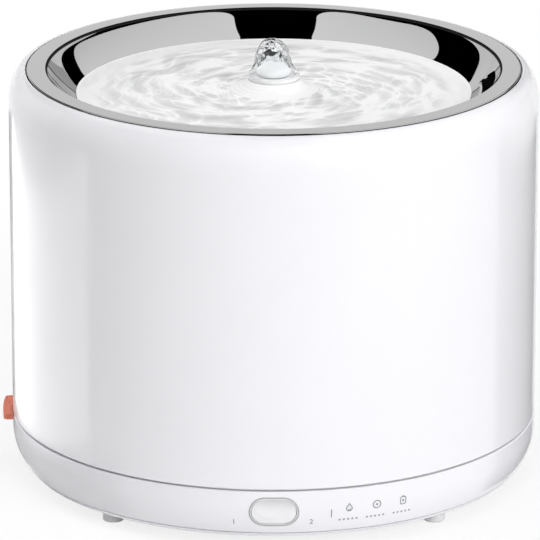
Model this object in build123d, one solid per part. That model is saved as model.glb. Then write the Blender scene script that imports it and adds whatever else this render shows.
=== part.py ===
from build123d import *
from math import acos, asin, cos, radians, sin, sqrt, tan
import os

# A cordless pet water fountain. Millimetres, +Z up. The origin is on the vertical axis of the tank, at
# the level that the feet stand on. The mode button faces -Y, and the charging port faces -X.
# The pieces come apart upwards: tray, filter, pump, tank, and last the base, which holds the electronics.

# ---- sizes of the whole --------------------------------------------------------------------------
body_radius = 95.0          # outer radius of tank and base
wall = 2.5                  # moulded walls of tank and base
foot_height = 4.0           # how far the feet stand below the bottom cover
base_height = 18.05         # from the underside of the bottom cover to the base's top edge
base_curve_height = 13.0    # how much of that height curves inwards
base_curve_radius = 19.4    # radius of that curve
seam_gap = 0.6              # shadow gap between tank and base
tank_height = 126.85        # from the tank's bottom edge to its top edge
shoulder_width = 6.0        # how far the tank's top rounds inwards
shoulder_height = 12.0      # height of that rounding

# ---- clearances ----------------------------------------------------------------------------------
slip = 0.3                  # between pieces that lift apart
snug = 0.05                 # between pieces that stay together
running = 0.05              # radial clearance of a turning shaft

# ---- base ----------------------------------------------------------------------------------------
deck_rise = 1.65            # how far the deck stands above the base's top edge
deck_thickness = 2.5
deck_inset = 3.2            # from the outer wall to the edge of the raised deck
cover_thickness = 2.5       # plate of the bottom cover
cover_band = 1.4            # height of the cover's visible edge
cover_lip_height = 3.0      # locating lip inside the base wall
cover_lip_thickness = 2.0
parting_gap = 0.3           # visible line between base shell and bottom cover
foot_radius = 3.8
foot_inset = 10.7           # from the outer wall to the middle of a foot
foot_angle = 42.5           # each foot's angle from the front-to-back line
foot_recess = 0.8
screw_offset = 50.0         # each cover screw is this far from the axis in X and in Y
screw_radius = 1.45
screw_head_radius = 2.8
screw_head_height = 2.0
screw_length = 9.0
screw_sink = 0.3            # how deep the head lies in the cover
screw_slot = 0.8            # width of the cross recess
screw_slot_depth = 0.6
post_radius = 4.0
seat_ring_inset = 21.0      # from the outer wall to the middle of the silicone ring that the tank stands on
seat_ring_width = 3.6
seat_ring_depth = 1.0       # how deep it sits in the deck
seat_ring_proud = 0.3       # how far it stands above the deck

# ---- drive motor and its magnet ------------------------------------------------------------------
motor_radius = 16.0
motor_height = 8.5
motor_skin = 1.0
motor_seat = 2.0            # wall of the ring that holds the motor
motor_seat_height = 3.0
coil_count = 6
coil_radius = 3.4
coil_height = 5.0
coil_circle_radius = 10.4
drive_shaft_radius = 1.5
shaft_hole = 0.5            # radial clearance of the shaft in the motor's lid
bush_radius = 3.0
bush_height = 3.0
magnet_radius = 18.0
magnet_height = 3.5
magnet_clearance = 1.0      # under the deck

# ---- batteries and boards ------------------------------------------------------------------------
cell_width = 42.0
cell_thickness = 9.0
cell_gap = 2.0
cell_clearance = 4.0        # from the magnet to the cells
cell_inset = 29.0           # from the outer wall to the back of the cells
cell_rounding = 1.5
strap_play = 0.1            # between cells and strap
strap_thickness = 1.5
strap_width = 8.0
board_thickness = 1.6
board_width = 84.0
board_depth = 28.0
board_inset = 33.0          # from the outer wall to the board's front edge
board_standoff = 3.0
standoff_radius = 2.2
standoff_inset = 4.0
board_corner = 1.5
parts_back = 13.0           # from the board's back edge to the middle of its parts
chip_width = 10.0
chip_height = 1.2
charger_width = 5.0
charger_height = 1.0
charger_side = 21.5         # from the board's middle towards -X
choke_width = 8.0
choke_height = 4.0
choke_side = 32.0           # from the board's middle towards -X
capacitor_radius = 3.0
capacitor_height = 7.0
capacitor_side = 18.0       # from the board's middle towards +X
plug_width = 10.0
plug_depth = 6.0
plug_height = 5.0
plug_side = 33.0            # from the board's middle towards +X
plug_back = 6.0             # from the board's back edge to the middle of the battery plug

# ---- mode button ---------------------------------------------------------------------------------
button_level = 14.45        # height of its centre
frame_width = 17.6          # grey trim around the button
frame_height = 11.2
frame_rim = 0.75
button_gap = 0.2
button_sink = 0.3           # how far the button's face lies behind the wall
button_dish_radius = 45.0   # hollow of the finger face
button_dish_depth = 0.7
button_travel = 0.8
flange_depth = 5.1          # the button's flange lies this far behind the wall's face
flange_thickness = 0.8
flange_margin = 0.7
stem_radius = 2.0
stem_length = 0.8
plunger_radius = 1.6
plunger_length = 2.8
switch_size = 6.0
switch_depth = 3.5
switch_board_width = 22.0
switch_gap = 0.5            # from the pressed stem to the switch
plunger_play = 0.1          # under the pressed plunger
panel_board_thickness = 1.2
panel_board_gap = 1.0       # under the deck

# ---- status lights -------------------------------------------------------------------------------
light_level = 15.05         # height of the three pictograms
light_angles = (16.06, 22.2, 28.5)   # drop, filter, battery, from the front towards +X
light_inlay = 0.8           # depth of a pictogram in the wall
mark_line = 0.42            # line width of the pictograms
drop_mark_radius = 1.28
drop_mark_drop = 0.3        # from the pictogram's middle down to the drop's round part
drop_mark_apex = 1.75       # from the pictogram's middle up to the drop's tip
filter_mark_radius = 1.75
filter_mark_pitch = 0.75    # between the three bars across it
battery_mark_width = 2.5
battery_mark_height = 3.0
battery_mark_drop = 0.2     # from the pictogram's middle down to the middle of the cell
battery_cap_width = 1.2
battery_cap_height = 0.5
light_pipe_radius = 0.9
light_pipe_length = 9.0     # from the wall's face to the pipe's inner end
light_board_angle = 22.28
light_board_width = 34.0
led_size = 2.0
led_height = 1.5
led_gap = 1.1               # from a lamp to its light pipe
pip_level = 10.45           # row of level pips under each pictogram
pip_radius = 0.42
pip_depth = 0.4
pip_pitch = 1.55
pip_count = 5

# ---- charging port -------------------------------------------------------------------------------
port_level = 14.2           # height of the socket's centre
port_slot_width = 13.0
port_slot_bottom = 8.5
flap_side_gap = 0.3
flap_thickness = 2.0
flap_bottom = 11.2
hinge_bead_radius = 0.9
hinge_level = 9.6
hinge_inset = 2.9           # from the outer wall to the hinge line
strap_skin = 0.8            # thickness of the flap's flexible strap
strap_joint = 1.0           # height over which the strap runs into the flap
strap_depth = 0.6           # how far behind the flap's face it starts
tongue_thickness = 2.0
tongue_reach = 3.6          # how far the finger tongue stands out
tongue_width = 21.4
tongue_corner = 1.6
tongue_gap = 0.2
tongue_shift = -0.8         # along Y
pad_width = 9.2
pad_height = 4.4
pad_gap = 0.4               # from the pad to the bezel
bezel_inset = 4.8           # from the outer wall to the bezel's outer face
bezel_width = 16.0
bezel_thickness = 1.4
socket_width = 8.94
socket_height = 3.26
socket_length = 7.3
socket_skin = 0.3
socket_tongue = 0.7
socket_tongue_inset = 1.2   # from the shell's side to the tongue
socket_tongue_sink = 0.8
port_board_width = 15.0
port_board_length = 16.0
port_leg = 2.0              # thickness of the leg under the port board

# ---- tank ----------------------------------------------------------------------------------------
tank_floor = 3.0
tank_edge = 0.5             # chamfer at the tank's bottom edge
shoulder_lift = 1.0         # the inside rounds this much higher than the outside
ledge_drop = 2.7            # tray ledge below the tank's top edge
ledge_width = 5.0
ledge_thickness = 2.3

# ---- tray and spout ------------------------------------------------------------------------------
steel = 1.0
rim_gap = 0.5               # between the tray's edge and the tank
rim_stand = 0.3             # how far the tray's edge stands above the tank
rim_rise = 0.2              # the rim band rises inwards by this much
rim_width = 6.86
rim_drop = 1.8              # height of the turned-down edge
rim_edge = 0.5              # bevel where the rim turns down
bowl_depth = 13.0
bowl_flat_radius = 56.0
water_drop = 9.15           # water level below the crease of the rim
water_clearance = 0.15
water_gap = 0.25            # between the spring's water and the spout
slot_angle = -5.7           # overflow slot, from +X towards -Y
slot_width = 29.4
slot_height = 5.2
slot_drop = 2.3             # top of the slot below the crease
seal_width = 2.4
seal_play = 0.2             # under the rim
spout_radius = 9.0
spout_height = 9.2          # above the bowl's floor
spout_bore = 5.2
spout_taper = 0.4           # the spout narrows by this much towards its rim
spout_flare = 1.0           # and widens by this much above its flange
spout_flange_radius = 13.0
spout_flange_thickness = 1.4
spout_stem_length = 12.5    # below the bowl's floor
gasket_thickness = 0.6
gasket_inset = 0.4          # the gasket's edge lies this far inside the flange
nut_radius = 14.0
nut_height = 3.4
nut_sides = 8
jet_foot_radius = 17.0
jet_ring_radius = 9.5
jet_crown_radius = 7.0
jet_height = 19.15          # above the water level

# ---- pump, impeller and riser --------------------------------------------------------------------
cage_radius = 38.0
cage_height = 43.0
cage_wall = 2.0
cage_floor = 2.0
cage_slot_count = 16
cage_slot_width = 4.0
cage_slot_margin = 7.0
cage_lid_thickness = 2.0
cage_lid_lip = 2.0
foam_thickness = 8.5
foam_gap = 0.5
foam_height = 37.0
pump_radius = 24.0
pump_wall = 2.5
pump_floor = 1.2
pump_height = 14.0
pump_window_count = 6
pump_window_width = 10.0
pump_window_height = 6.0
pump_window_margin = 1.5    # below the pump's top
rotor_radius = 17.0
rotor_height = 4.0
rotor_gap = 0.6
blade_count = 6
blade_height = 6.0
blade_thickness = 1.6
blade_inset = 0.5           # from the wheel's edge
hub_radius = 4.0
impeller_disc = 1.2
axle_radius = 1.5
axle_sink = 0.8             # how deep the axle stands in the pump's floor
axle_fit = 0.02             # radial clearance of the axle in its seats
pump_cover_thickness = 2.5
spider_boss_radius = 2.6
spider_arm = 1.4
spider_arm_count = 3
riser_radius = 7.0
riser_bore = 5.0
riser_socket_length = 9.0
riser_socket_wall = 2.0
riser_step = 3.5
riser_engagement = 9.6      # how far the riser reaches up into the spout

# ---- filter --------------------------------------------------------------------------------------
basket_radius = 58.0
basket_height = 32.0
basket_wall = 1.6
basket_slot_count = 24
basket_slot_width = 3.0
basket_slot_margin = 5.0    # from the basket's wall to the slots
cotton_height = 8.0
resin_height = 9.0
carbon_height = 9.0
media_gap = 0.2
filter_lid_thickness = 2.0
filter_lid_lip = 2.5

# ---- heights worked out from the sizes above -----------------------------------------------------
cover_under = foot_height
cover_top = cover_under + cover_thickness
band_top = cover_under + cover_band
shell_bottom = band_top + parting_gap
base_top = cover_under + base_height
curve_top = cover_under + base_curve_height
curve_centre = body_radius - base_curve_radius
deck_top = base_top + deck_rise
deck_under = deck_top - deck_thickness
deck_radius = body_radius - deck_inset
tank_bottom = base_top + seam_gap
tank_floor_under = deck_top + seat_ring_proud
tank_floor_top = tank_floor_under + tank_floor
tank_top = tank_bottom + tank_height
ledge_top = tank_top - ledge_drop
rebate_radius = body_radius - shoulder_width
mouth_radius = rebate_radius - ledge_width
rim_radius = rebate_radius - rim_gap
rim_top = tank_top + rim_stand
crease_radius = rim_radius - rim_width
crease_top = rim_top + rim_rise
bowl_floor = crease_top - bowl_depth
bowl_run = crease_radius - bowl_flat_radius
bowl_arc = (bowl_run**2 + bowl_depth**2) / (2 * bowl_depth)
bowl_arc_level = bowl_floor + bowl_arc
water_level = crease_top - water_drop

# ---- distances from the axis worked out from the sizes above -------------------------------------
foot_circle_radius = body_radius - foot_inset
seat_ring_radius = body_radius - seat_ring_inset
cell_front = magnet_radius + cell_clearance
cell_back = body_radius - cell_inset
board_front = body_radius - board_inset
light_pipe_end = body_radius - light_pipe_length
led_front = light_pipe_end - led_gap
light_board_distance = led_front - led_height - panel_board_thickness
hinge_distance = body_radius - hinge_inset
bezel_distance = body_radius - bezel_inset
pad_end = bezel_distance + pad_gap
over = 1.0                  # how far a cut runs past the faces that it opens
far_over = 5.0              # the same for a cut through a curved wall
quarter = 90.0              # degrees


# ---- helpers -------------------------------------------------------------------------------------
def disc(radius, low, high):
    """Upright cylinder on the axis from one height to another."""
    return Pos(0, 0, low) * Cylinder(radius, high - low, align=(Align.CENTER, Align.CENTER, Align.MIN))


def ring(outer, inner, low, high):
    """Upright tube on the axis."""
    return disc(outer, low, high) - disc(inner, low - over, high + over)


def block(x_low, x_high, y_low, y_high, z_low, z_high):
    """Box given by its lowest and highest corner."""
    corner = (Align.MIN, Align.MIN, Align.MIN)
    return Pos(x_low, y_low, z_low) * Box(x_high - x_low, y_high - y_low, z_high - z_low, align=corner)


def lathe(*edges):
    """Turn a closed outline, drawn as radius and height, about the axis."""
    return revolve(Plane.XZ * make_face(edges), axis=Axis.Z)


def outline(*points):
    """Closed straight-sided outline of radius and height pairs."""
    return Polyline(*points, close=True)


def turned(solid, angle):
    """Turn a solid about the axis."""
    return Rot(0, 0, angle) * solid


def around(solid, count, first=0.0):
    """Copies of a solid, evenly spaced about the axis."""
    return [turned(solid, first + 360 * i / count) for i in range(count)]


def four_corners(solid, x, y):
    """Copies of a solid at the four corners of a rectangle."""
    return [Pos(sx * x, sy * y, 0) * solid for sx in (-1, 1) for sy in (-1, 1)]


def curve_radius(height, inset=0.0):
    """Radius of the base's side at a height, measured inset millimetres inside its face."""
    if height >= curve_top:
        return body_radius - inset
    reach = base_curve_radius - inset
    return curve_centre + sqrt(reach**2 - (curve_top - height) ** 2)


def base_form(inset, low, high):
    """Solid inside the base's side: straight above, curved inwards below."""
    reach = base_curve_radius - inset
    low_radius = curve_radius(low, inset)
    half = asin((curve_top - low) / reach) / 2
    middle = (curve_centre + reach * cos(half), curve_top - reach * sin(half))
    top_radius = body_radius - inset
    side = ThreePointArc((low_radius, low), middle, (top_radius, curve_top))
    rest = Polyline((top_radius, curve_top), (top_radius, high), (0, high), (0, low), (low_radius, low))
    return lathe(side, rest)


def front_prism(sketch, near, far):
    """Push a front-view sketch (X, Z) straight back, between two distances in front of the axis."""
    return extrude(Plane.XZ.offset(near) * sketch, amount=far - near)


def save(name, shape):
    """Write one sub-part; several separate solids go into one file as a group."""
    shape.label = name
    export_step(shape, f"parts/{name}.step")


def group(solids):
    """Several separate solids as one sub-part."""
    return Compound(children=list(solids))


# ---- feet and bottom cover -----------------------------------------------------------------------
foot_x = foot_circle_radius * sin(radians(foot_angle))
foot_y = foot_circle_radius * cos(radians(foot_angle))
foot_rounding = 0.6


def feet():
    foot = disc(foot_radius, 0, foot_height + foot_recess)
    foot = fillet(foot.edges().group_by(Axis.Z)[0], foot_rounding)
    return group(four_corners(foot, foot_x, foot_y))


def bottom_cover():
    band = base_form(0, cover_under, base_top) & disc(body_radius, cover_under, band_top)
    lip_outer = curve_radius(shell_bottom, wall) - slip
    lip_top = cover_top + cover_lip_height
    plate = band + disc(lip_outer, cover_under, cover_top)
    plate += ring(lip_outer, lip_outer - cover_lip_thickness, cover_top, lip_top)
    gap_end = bezel_width / 2 - bezel_distance
    plate -= block(-body_radius, gap_end, -bezel_width, bezel_width, cover_top, lip_top)
    plate += ring(motor_radius + motor_seat, motor_radius + snug, cover_top, cover_top + motor_seat_height)
    standoff = disc(standoff_radius, cover_top, cover_top + board_standoff)
    board_middle = board_depth / 2 - board_front
    for post in four_corners(standoff, board_width / 2 - standoff_inset, board_depth / 2 - standoff_inset):
        plate += Pos(0, board_middle, 0) * post
    recess = disc(foot_radius, cover_under - over, cover_under + foot_recess)
    for cut in four_corners(recess, foot_x, foot_y):
        plate -= cut
    hole = disc(screw_radius + slip, cover_under - over, cover_top + over)
    hole += disc(screw_head_radius + slip, cover_under - over, cover_under + screw_head_height)
    for cut in four_corners(hole, screw_offset, screw_offset):
        plate -= cut
    return plate


def cover_screws():
    seat = cover_under + screw_head_height
    head_low = cover_under + screw_sink
    screw = disc(screw_head_radius, head_low, seat) + disc(screw_radius, seat, seat + screw_length)
    half = screw_slot / 2
    slot_top = head_low + screw_slot_depth
    bar = block(-screw_head_radius, screw_head_radius, -half, half, head_low - over, slot_top)
    screw -= bar + turned(bar, quarter)
    return group(four_corners(screw, screw_offset, screw_offset))


# ---- base shell ----------------------------------------------------------------------------------
def frame_sketch(margin=0.0):
    return Pos(0, button_level) * SlotOverall(frame_width + 2 * margin, frame_height + 2 * margin)


def base_shell():
    edge_chamfer = 0.4
    shell = base_form(0, shell_bottom, base_top)
    shell = chamfer(shell.edges().group_by(Axis.Z)[-1], edge_chamfer)
    shell += disc(deck_radius, base_top - over, deck_top)
    shell = shell - base_form(wall, shell_bottom, deck_under)
    post = disc(post_radius, cover_top, deck_under + over)
    for column in four_corners(post, screw_offset, screw_offset):
        shell += column
    pilot = disc(screw_radius + snug, cover_top - over, cover_top + screw_length)
    for cut in four_corners(pilot, screw_offset, screw_offset):
        shell -= cut
    groove_low = deck_top - seat_ring_depth
    half_ring = seat_ring_width / 2 + snug
    shell -= ring(seat_ring_radius + half_ring, seat_ring_radius - half_ring, groove_low, deck_top + over)
    shell -= front_prism(frame_sketch(snug), body_radius - 2 * far_over, body_radius + far_over)
    half_slot = port_slot_width / 2
    slot_inner = body_radius - wall - far_over
    slot_top = base_top + over
    slot = block(-body_radius - far_over, -slot_inner, -half_slot, half_slot, port_slot_bottom, slot_top)
    shell -= slot & ring(body_radius + far_over, deck_radius + slip, 0, base_top + over)
    shell -= slot & disc(body_radius + far_over, 0, deck_under)
    for light in status_lights(snug):
        shell -= light
    for pip in level_pip_list():
        shell -= pip
    return shell


def tank_seat_ring():
    half_ring = seat_ring_width / 2
    low = deck_top - seat_ring_depth
    return ring(seat_ring_radius + half_ring, seat_ring_radius - half_ring, low, deck_top + seat_ring_proud)


# ---- status lights -------------------------------------------------------------------------------
def drop_sketch():
    reach = drop_mark_apex + drop_mark_drop
    side = sqrt(reach**2 - drop_mark_radius**2)
    touch_x = side * drop_mark_radius / reach
    touch_y = drop_mark_apex - side * side / reach
    point = Polyline((0, drop_mark_apex), (-touch_x, touch_y), (touch_x, touch_y), close=True)
    return Pos(0, -drop_mark_drop) * Circle(drop_mark_radius) + make_face(point)


def filter_sketch():
    mark = Circle(filter_mark_radius) - Circle(filter_mark_radius - mark_line)
    for level in (-filter_mark_pitch, 0, filter_mark_pitch):
        reach = sqrt((filter_mark_radius - mark_line / 2) ** 2 - level**2)
        mark += Pos(0, level) * Rectangle(2 * reach, mark_line)
    return mark


def battery_sketch():
    body = RectangleRounded(battery_mark_width, battery_mark_height, mark_line)
    cap = Rectangle(battery_cap_width, battery_cap_height)
    return Pos(0, -battery_mark_drop) * body + Pos(0, battery_mark_height / 2) * cap


def status_light(sketch, angle, margin):
    inlay = front_prism(Pos(0, light_level) * sketch, body_radius - far_over, body_radius + far_over)
    inlay &= base_form(0, shell_bottom, base_top) - base_form(light_inlay, shell_bottom, base_top)
    pipe = front_prism(Pos(0, light_level) * Circle(light_pipe_radius + margin), light_pipe_end,
                       curve_radius(light_level, light_inlay))
    return turned(inlay + pipe, angle)


def status_lights(margin=0.0):
    sketches = (drop_sketch(), filter_sketch(), battery_sketch())
    return [status_light(sketch, angle, margin) for sketch, angle in zip(sketches, light_angles)]


def level_pip_list():
    skin = base_form(0, shell_bottom, base_top) - base_form(pip_depth, shell_bottom, base_top)
    dot = Pos(0, pip_level) * Circle(pip_radius)
    pin = front_prism(dot, body_radius - far_over, body_radius + far_over) & skin
    step = pip_pitch / radians(1) / curve_radius(pip_level)
    first = -(pip_count - 1) / 2
    return [turned(pin, angle + (first + i) * step) for angle in light_angles for i in range(pip_count)]


def light_board():
    half = light_board_width / 2
    near = -light_board_distance - panel_board_thickness
    board = block(-half, half, near, -light_board_distance, cover_top, deck_under - panel_board_gap)
    return turned(board, light_board_angle)


def status_leds():
    face = light_board_distance + panel_board_thickness
    half = led_size / 2
    led = block(-half, half, -led_front, -face, light_level - half, light_level + half)
    offsets = [led_front * tan(radians(angle - light_board_angle)) for angle in light_angles]
    return group(turned(Pos(offset, 0, 0) * led, light_board_angle) for offset in offsets)


# ---- mode button ---------------------------------------------------------------------------------
def button_sketch(margin):
    inner = 2 * (frame_rim + margin)
    return Pos(0, button_level) * SlotOverall(frame_width - inner, frame_height - inner)


def button_frame():
    trim = front_prism(frame_sketch() - button_sketch(0), body_radius - 2 * far_over, body_radius + far_over)
    return trim & (base_form(0, shell_bottom, base_top) - base_form(wall, shell_bottom, base_top))


def mode_button():
    flange_front = body_radius - flange_depth
    cap = front_prism(button_sketch(button_gap), flange_front, body_radius + far_over)
    cap &= base_form(button_sink, shell_bottom, base_top)
    ball_centre = body_radius - button_sink + button_dish_radius - button_dish_depth
    cap -= Pos(0, -ball_centre, button_level) * Sphere(button_dish_radius)
    flange = front_prism(button_sketch(-flange_margin), flange_front - flange_thickness, flange_front)
    stem_front = flange_front - flange_thickness
    stem = front_prism(Pos(0, button_level) * Circle(stem_radius), stem_front - stem_length, stem_front)
    return cap + flange + stem


plunger_front = body_radius - flange_depth - flange_thickness - stem_length
switch_front = plunger_front - button_travel - switch_gap


def switch_plunger():
    end = Pos(0, button_level) * Circle(plunger_radius)
    return front_prism(end, plunger_front - plunger_length, plunger_front)


def switch_housing():
    body = Pos(0, button_level) * Rectangle(switch_size, switch_size)
    well = Pos(0, button_level) * Circle(plunger_radius + running)
    housing = front_prism(body, switch_front - switch_depth, switch_front)
    well_end = plunger_front - plunger_length - button_travel - plunger_play
    return housing - front_prism(well, well_end, switch_front + over)


def switch_board():
    back = switch_front - switch_depth
    half = switch_board_width / 2
    return block(-half, half, -back, panel_board_thickness - back, cover_top, deck_under - panel_board_gap)


# ---- charging port -------------------------------------------------------------------------------
def port_cover():
    flap_half = port_slot_width / 2 - flap_side_gap
    flap_top = base_top
    side = block(-body_radius - far_over, 0, -flap_half, flap_half, flap_bottom, flap_top)
    skin = base_form(0, shell_bottom, flap_top) - base_form(flap_thickness, shell_bottom, flap_top)
    flap = side & skin
    tongue = ring(body_radius + tongue_reach, body_radius + tongue_gap, flap_top - tongue_thickness, flap_top)
    tongue_reach_in = block(-2 * body_radius, 0, -tongue_width / 2, tongue_width / 2, 0, flap_top + over)
    tongue &= Pos(0, tongue_shift, 0) * tongue_reach_in
    tongue = fillet(tongue.edges().filter_by(Axis.Z).sort_by(Axis.X)[:2], tongue_corner)
    bridge_low = flap_top - tongue_thickness
    bridge = block(-body_radius - over, over - body_radius, -flap_half, flap_half, bridge_low, flap_top)
    hinge_place = Pos(-hinge_distance, 0, hinge_level) * Rot(quarter, 0, 0)
    bead = hinge_place * Cylinder(hinge_bead_radius, 2 * flap_half)
    joint_top = flap_bottom + strap_joint
    strap_inner = strap_skin / 2 - hinge_distance
    strap = block(strap_inner - strap_skin, strap_inner, -flap_half, flap_half, hinge_level, joint_top)
    foot_outer = -curve_radius(flap_bottom, strap_depth)
    foot = block(foot_outer, strap_inner, -flap_half, flap_half, flap_bottom, joint_top)
    pad_face = Pos(0, port_level) * Rectangle(pad_width, pad_height)
    pad = turned(front_prism(pad_face, pad_end, body_radius - flap_thickness + slip), -quarter)
    return flap + tongue + bridge + bead + strap + foot + pad


def socket_prism(margin, start, length):
    shape = SlotOverall(socket_width - 2 * margin, socket_height - 2 * margin, rotation=quarter)
    return Pos(start, 0, port_level) * Rot(0, quarter, 0) * extrude(shape, amount=length)


def port_bezel():
    half = bezel_width / 2
    plate = block(-bezel_distance, bezel_thickness - bezel_distance, -half, half, cover_top, deck_under - slip)
    mouth = socket_prism(-snug, -bezel_distance - over, socket_length)
    return (plate & base_form(wall + slip, cover_top, base_top)) - mouth


def usb_socket():
    shell = socket_prism(0, -bezel_distance, socket_length)
    shell -= socket_prism(socket_skin, -bezel_distance - over, socket_length)
    start = socket_tongue_sink - bezel_distance
    end = socket_length - bezel_distance
    half = socket_width / 2 - socket_tongue_inset
    low = port_level - socket_tongue / 2
    return shell + block(start, end, -half, half, low, low + socket_tongue)


def port_board():
    start = bezel_thickness + slip - bezel_distance
    end = start + port_board_length
    top = port_level - socket_height / 2
    half = port_board_width / 2
    board = block(start, end, -half, half, top - board_thickness, top)
    return board + block(end - port_leg, end, -half, half, cover_top, top - board_thickness)


# ---- motor ---------------------------------------------------------------------------------------
motor_top = cover_top + motor_height
magnet_top = deck_under - magnet_clearance


def motor_case():
    case = disc(motor_radius, cover_top, motor_top)
    case -= disc(motor_radius - motor_skin, cover_top + motor_skin, motor_top - motor_skin)
    return case - disc(drive_shaft_radius + shaft_hole, motor_top - 2 * motor_skin, motor_top + over)


def motor_coils():
    low = cover_top + motor_skin
    coil = ring(coil_radius, coil_radius / 2, low, low + coil_height)
    return group(around(Pos(coil_circle_radius, 0, 0) * coil, coil_count))


def motor_bush():
    low = cover_top + motor_skin
    return ring(bush_radius, drive_shaft_radius + running, low, low + bush_height)


def drive_shaft():
    return disc(drive_shaft_radius, cover_top + motor_skin + slip, magnet_top)


def drive_magnet():
    return ring(magnet_radius, drive_shaft_radius, magnet_top - magnet_height, magnet_top)


# ---- batteries and control board -----------------------------------------------------------------
def battery_cells():
    start = cell_gap / 2
    cell = block(start, start + cell_width, cell_front, cell_back, cover_top, cover_top + cell_thickness)
    cell = fillet(cell.edges().filter_by(Axis.Y), cell_rounding)
    return group([cell, mirror(cell, about=Plane.YZ)])


def battery_strap():
    inner = cell_gap / 2 + cell_width + slip
    outer = inner + strap_thickness
    low = (cell_front + cell_back - strap_width) / 2
    high = low + strap_width
    under = cover_top + cell_thickness + strap_play
    arch = block(-outer, outer, low, high, cover_top, under + strap_thickness)
    return arch - block(-inner, inner, low - over, high + over, cover_top - over, under)


def control_board():
    low = cover_top + board_standoff
    half = board_width / 2
    board = block(-half, half, -board_front, board_depth - board_front, low, low + board_thickness)
    return fillet(board.edges().filter_by(Axis.Z), board_corner)


def on_board(x, back, width, depth, height):
    """Block on the control board, centred at x and at a distance from the board's back edge."""
    top = cover_top + board_standoff + board_thickness
    y = board_depth - board_front - back
    return block(x - width / 2, x + width / 2, y - depth / 2, y + depth / 2, top, top + height)


def board_components():
    chip = on_board(0, parts_back, chip_width, chip_width, chip_height)
    charger = on_board(-charger_side, parts_back, charger_width, charger_width, charger_height)
    choke = on_board(-choke_side, parts_back, choke_width, choke_width, choke_height)
    plug = on_board(plug_side, plug_back, plug_width, plug_depth, plug_height)
    top = cover_top + board_standoff + board_thickness
    capacitor_place = Pos(capacitor_side, board_depth - board_front - parts_back, 0)
    capacitor = capacitor_place * disc(capacitor_radius, top, top + capacitor_height)
    return group([chip, charger, choke, capacitor, plug])


# ---- tank ----------------------------------------------------------------------------------------
def tank_shell():
    shoulder_start = tank_top - shoulder_height
    inner_start = shoulder_start + shoulder_lift
    inner_reach = body_radius - wall - mouth_radius
    ledge_under = ledge_top - ledge_thickness
    skirt_radius = deck_radius + slip
    shoulder = EllipticalCenterArc((rebate_radius, shoulder_start), shoulder_width, shoulder_height,
                                   start_angle=0, arc_size=quarter)
    hollow = EllipticalCenterArc((mouth_radius, inner_start), inner_reach, ledge_under - inner_start,
                                 start_angle=0, arc_size=quarter)
    foot = (body_radius - tank_edge, tank_bottom)
    right = Polyline(foot, (body_radius, tank_bottom + tank_edge), (body_radius, shoulder_start))
    top = Polyline((rebate_radius, tank_top), (rebate_radius, ledge_top), (mouth_radius, ledge_top),
                   (mouth_radius, ledge_under))
    inside = Polyline((mouth_radius + inner_reach, inner_start), (mouth_radius + inner_reach, tank_floor_top),
                      (0, tank_floor_top), (0, tank_floor_under), (skirt_radius, tank_floor_under),
                      (skirt_radius, tank_bottom), foot)
    return lathe(right, shoulder, top, hollow, inside)


# ---- drinking tray -------------------------------------------------------------------------------
def bowl_radius(height, thickness=0.0):
    """Radius of the bowl's curved wall at a height, on its inner face or thickness outside it."""
    reach = bowl_arc + thickness
    return bowl_flat_radius + reach * sin(acos((bowl_arc_level - height) / reach))


def bowl_curve(high, thickness=0.0):
    """The bowl wall's arc, from the edge of the flat floor up to a height."""
    reach = bowl_arc + thickness
    half = acos((bowl_arc_level - high) / reach) / 2
    middle = (bowl_flat_radius + reach * sin(half), bowl_arc_level - reach * cos(half))
    start = (bowl_flat_radius, bowl_floor - thickness)
    return ThreePointArc(start, middle, (bowl_radius(high, thickness), high))


def drinking_tray():
    hole = spout_radius + slip
    under_crease = crease_top - steel
    inner_edge = rim_radius - steel
    low_edge = rim_top - rim_drop
    wall_top = bowl_curve(crease_top)
    rim = Polyline((bowl_radius(crease_top), crease_top), (rim_radius - rim_edge, rim_top),
                   (rim_radius, rim_top - rim_edge), (rim_radius, low_edge), (inner_edge, low_edge),
                   (inner_edge, rim_top - steel), (bowl_radius(under_crease, steel), under_crease))
    wall_under = bowl_curve(under_crease, steel)
    floor = Polyline((bowl_flat_radius, bowl_floor - steel), (hole, bowl_floor - steel), (hole, bowl_floor),
                     (bowl_flat_radius, bowl_floor))
    tray = lathe(wall_top, rim, wall_under, floor)
    slot_level = crease_top - slot_drop - slot_height / 2
    slot = Plane.YZ.offset(bowl_flat_radius) * Pos(0, slot_level) * SlotOverall(slot_width, slot_height)
    return tray - turned(extrude(slot, amount=body_radius - bowl_flat_radius), slot_angle)


def tray_seal():
    outer = rim_radius - steel - slip
    return ring(outer, outer - seal_width, ledge_top, rim_top - steel - seal_play)


def spout_nozzle():
    flange_low = bowl_floor + gasket_thickness
    flange_high = flange_low + spout_flange_thickness
    top = bowl_floor + spout_height
    foot = bowl_floor - spout_stem_length
    socket_top = foot + riser_engagement + slip
    waist = spout_radius - spout_taper
    flare = spout_radius + spout_flare
    body = lathe(outline((0, foot), (spout_radius, foot), (spout_radius, flange_low),
                         (spout_flange_radius, flange_low), (spout_flange_radius, flange_high),
                         (flare, flange_high + spout_flare), (waist, top), (0, top)))
    body -= disc(spout_bore, foot - over, top + over)
    return body - disc(riser_radius + slip, foot - over, socket_top)


def spout_gasket():
    outer = spout_flange_radius - gasket_inset
    return ring(outer, spout_radius + slip, bowl_floor, bowl_floor + gasket_thickness)


def spout_nut():
    low = bowl_floor - steel - nut_height
    flats = RegularPolygon(nut_radius, nut_sides, major_radius=False)
    nut = Pos(0, 0, low) * extrude(flats, amount=nut_height)
    return nut - disc(spout_radius + snug, low - over, low + nut_height + over)


def water_pool():
    low = bowl_floor + water_clearance
    inner = spout_flange_radius + slip
    side = bowl_curve(water_level, -water_clearance)
    edge = (bowl_radius(water_level, -water_clearance), water_level)
    rest = Polyline(edge, (inner, water_level), (inner, low), (bowl_flat_radius, low))
    return lathe(side, rest)


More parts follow.
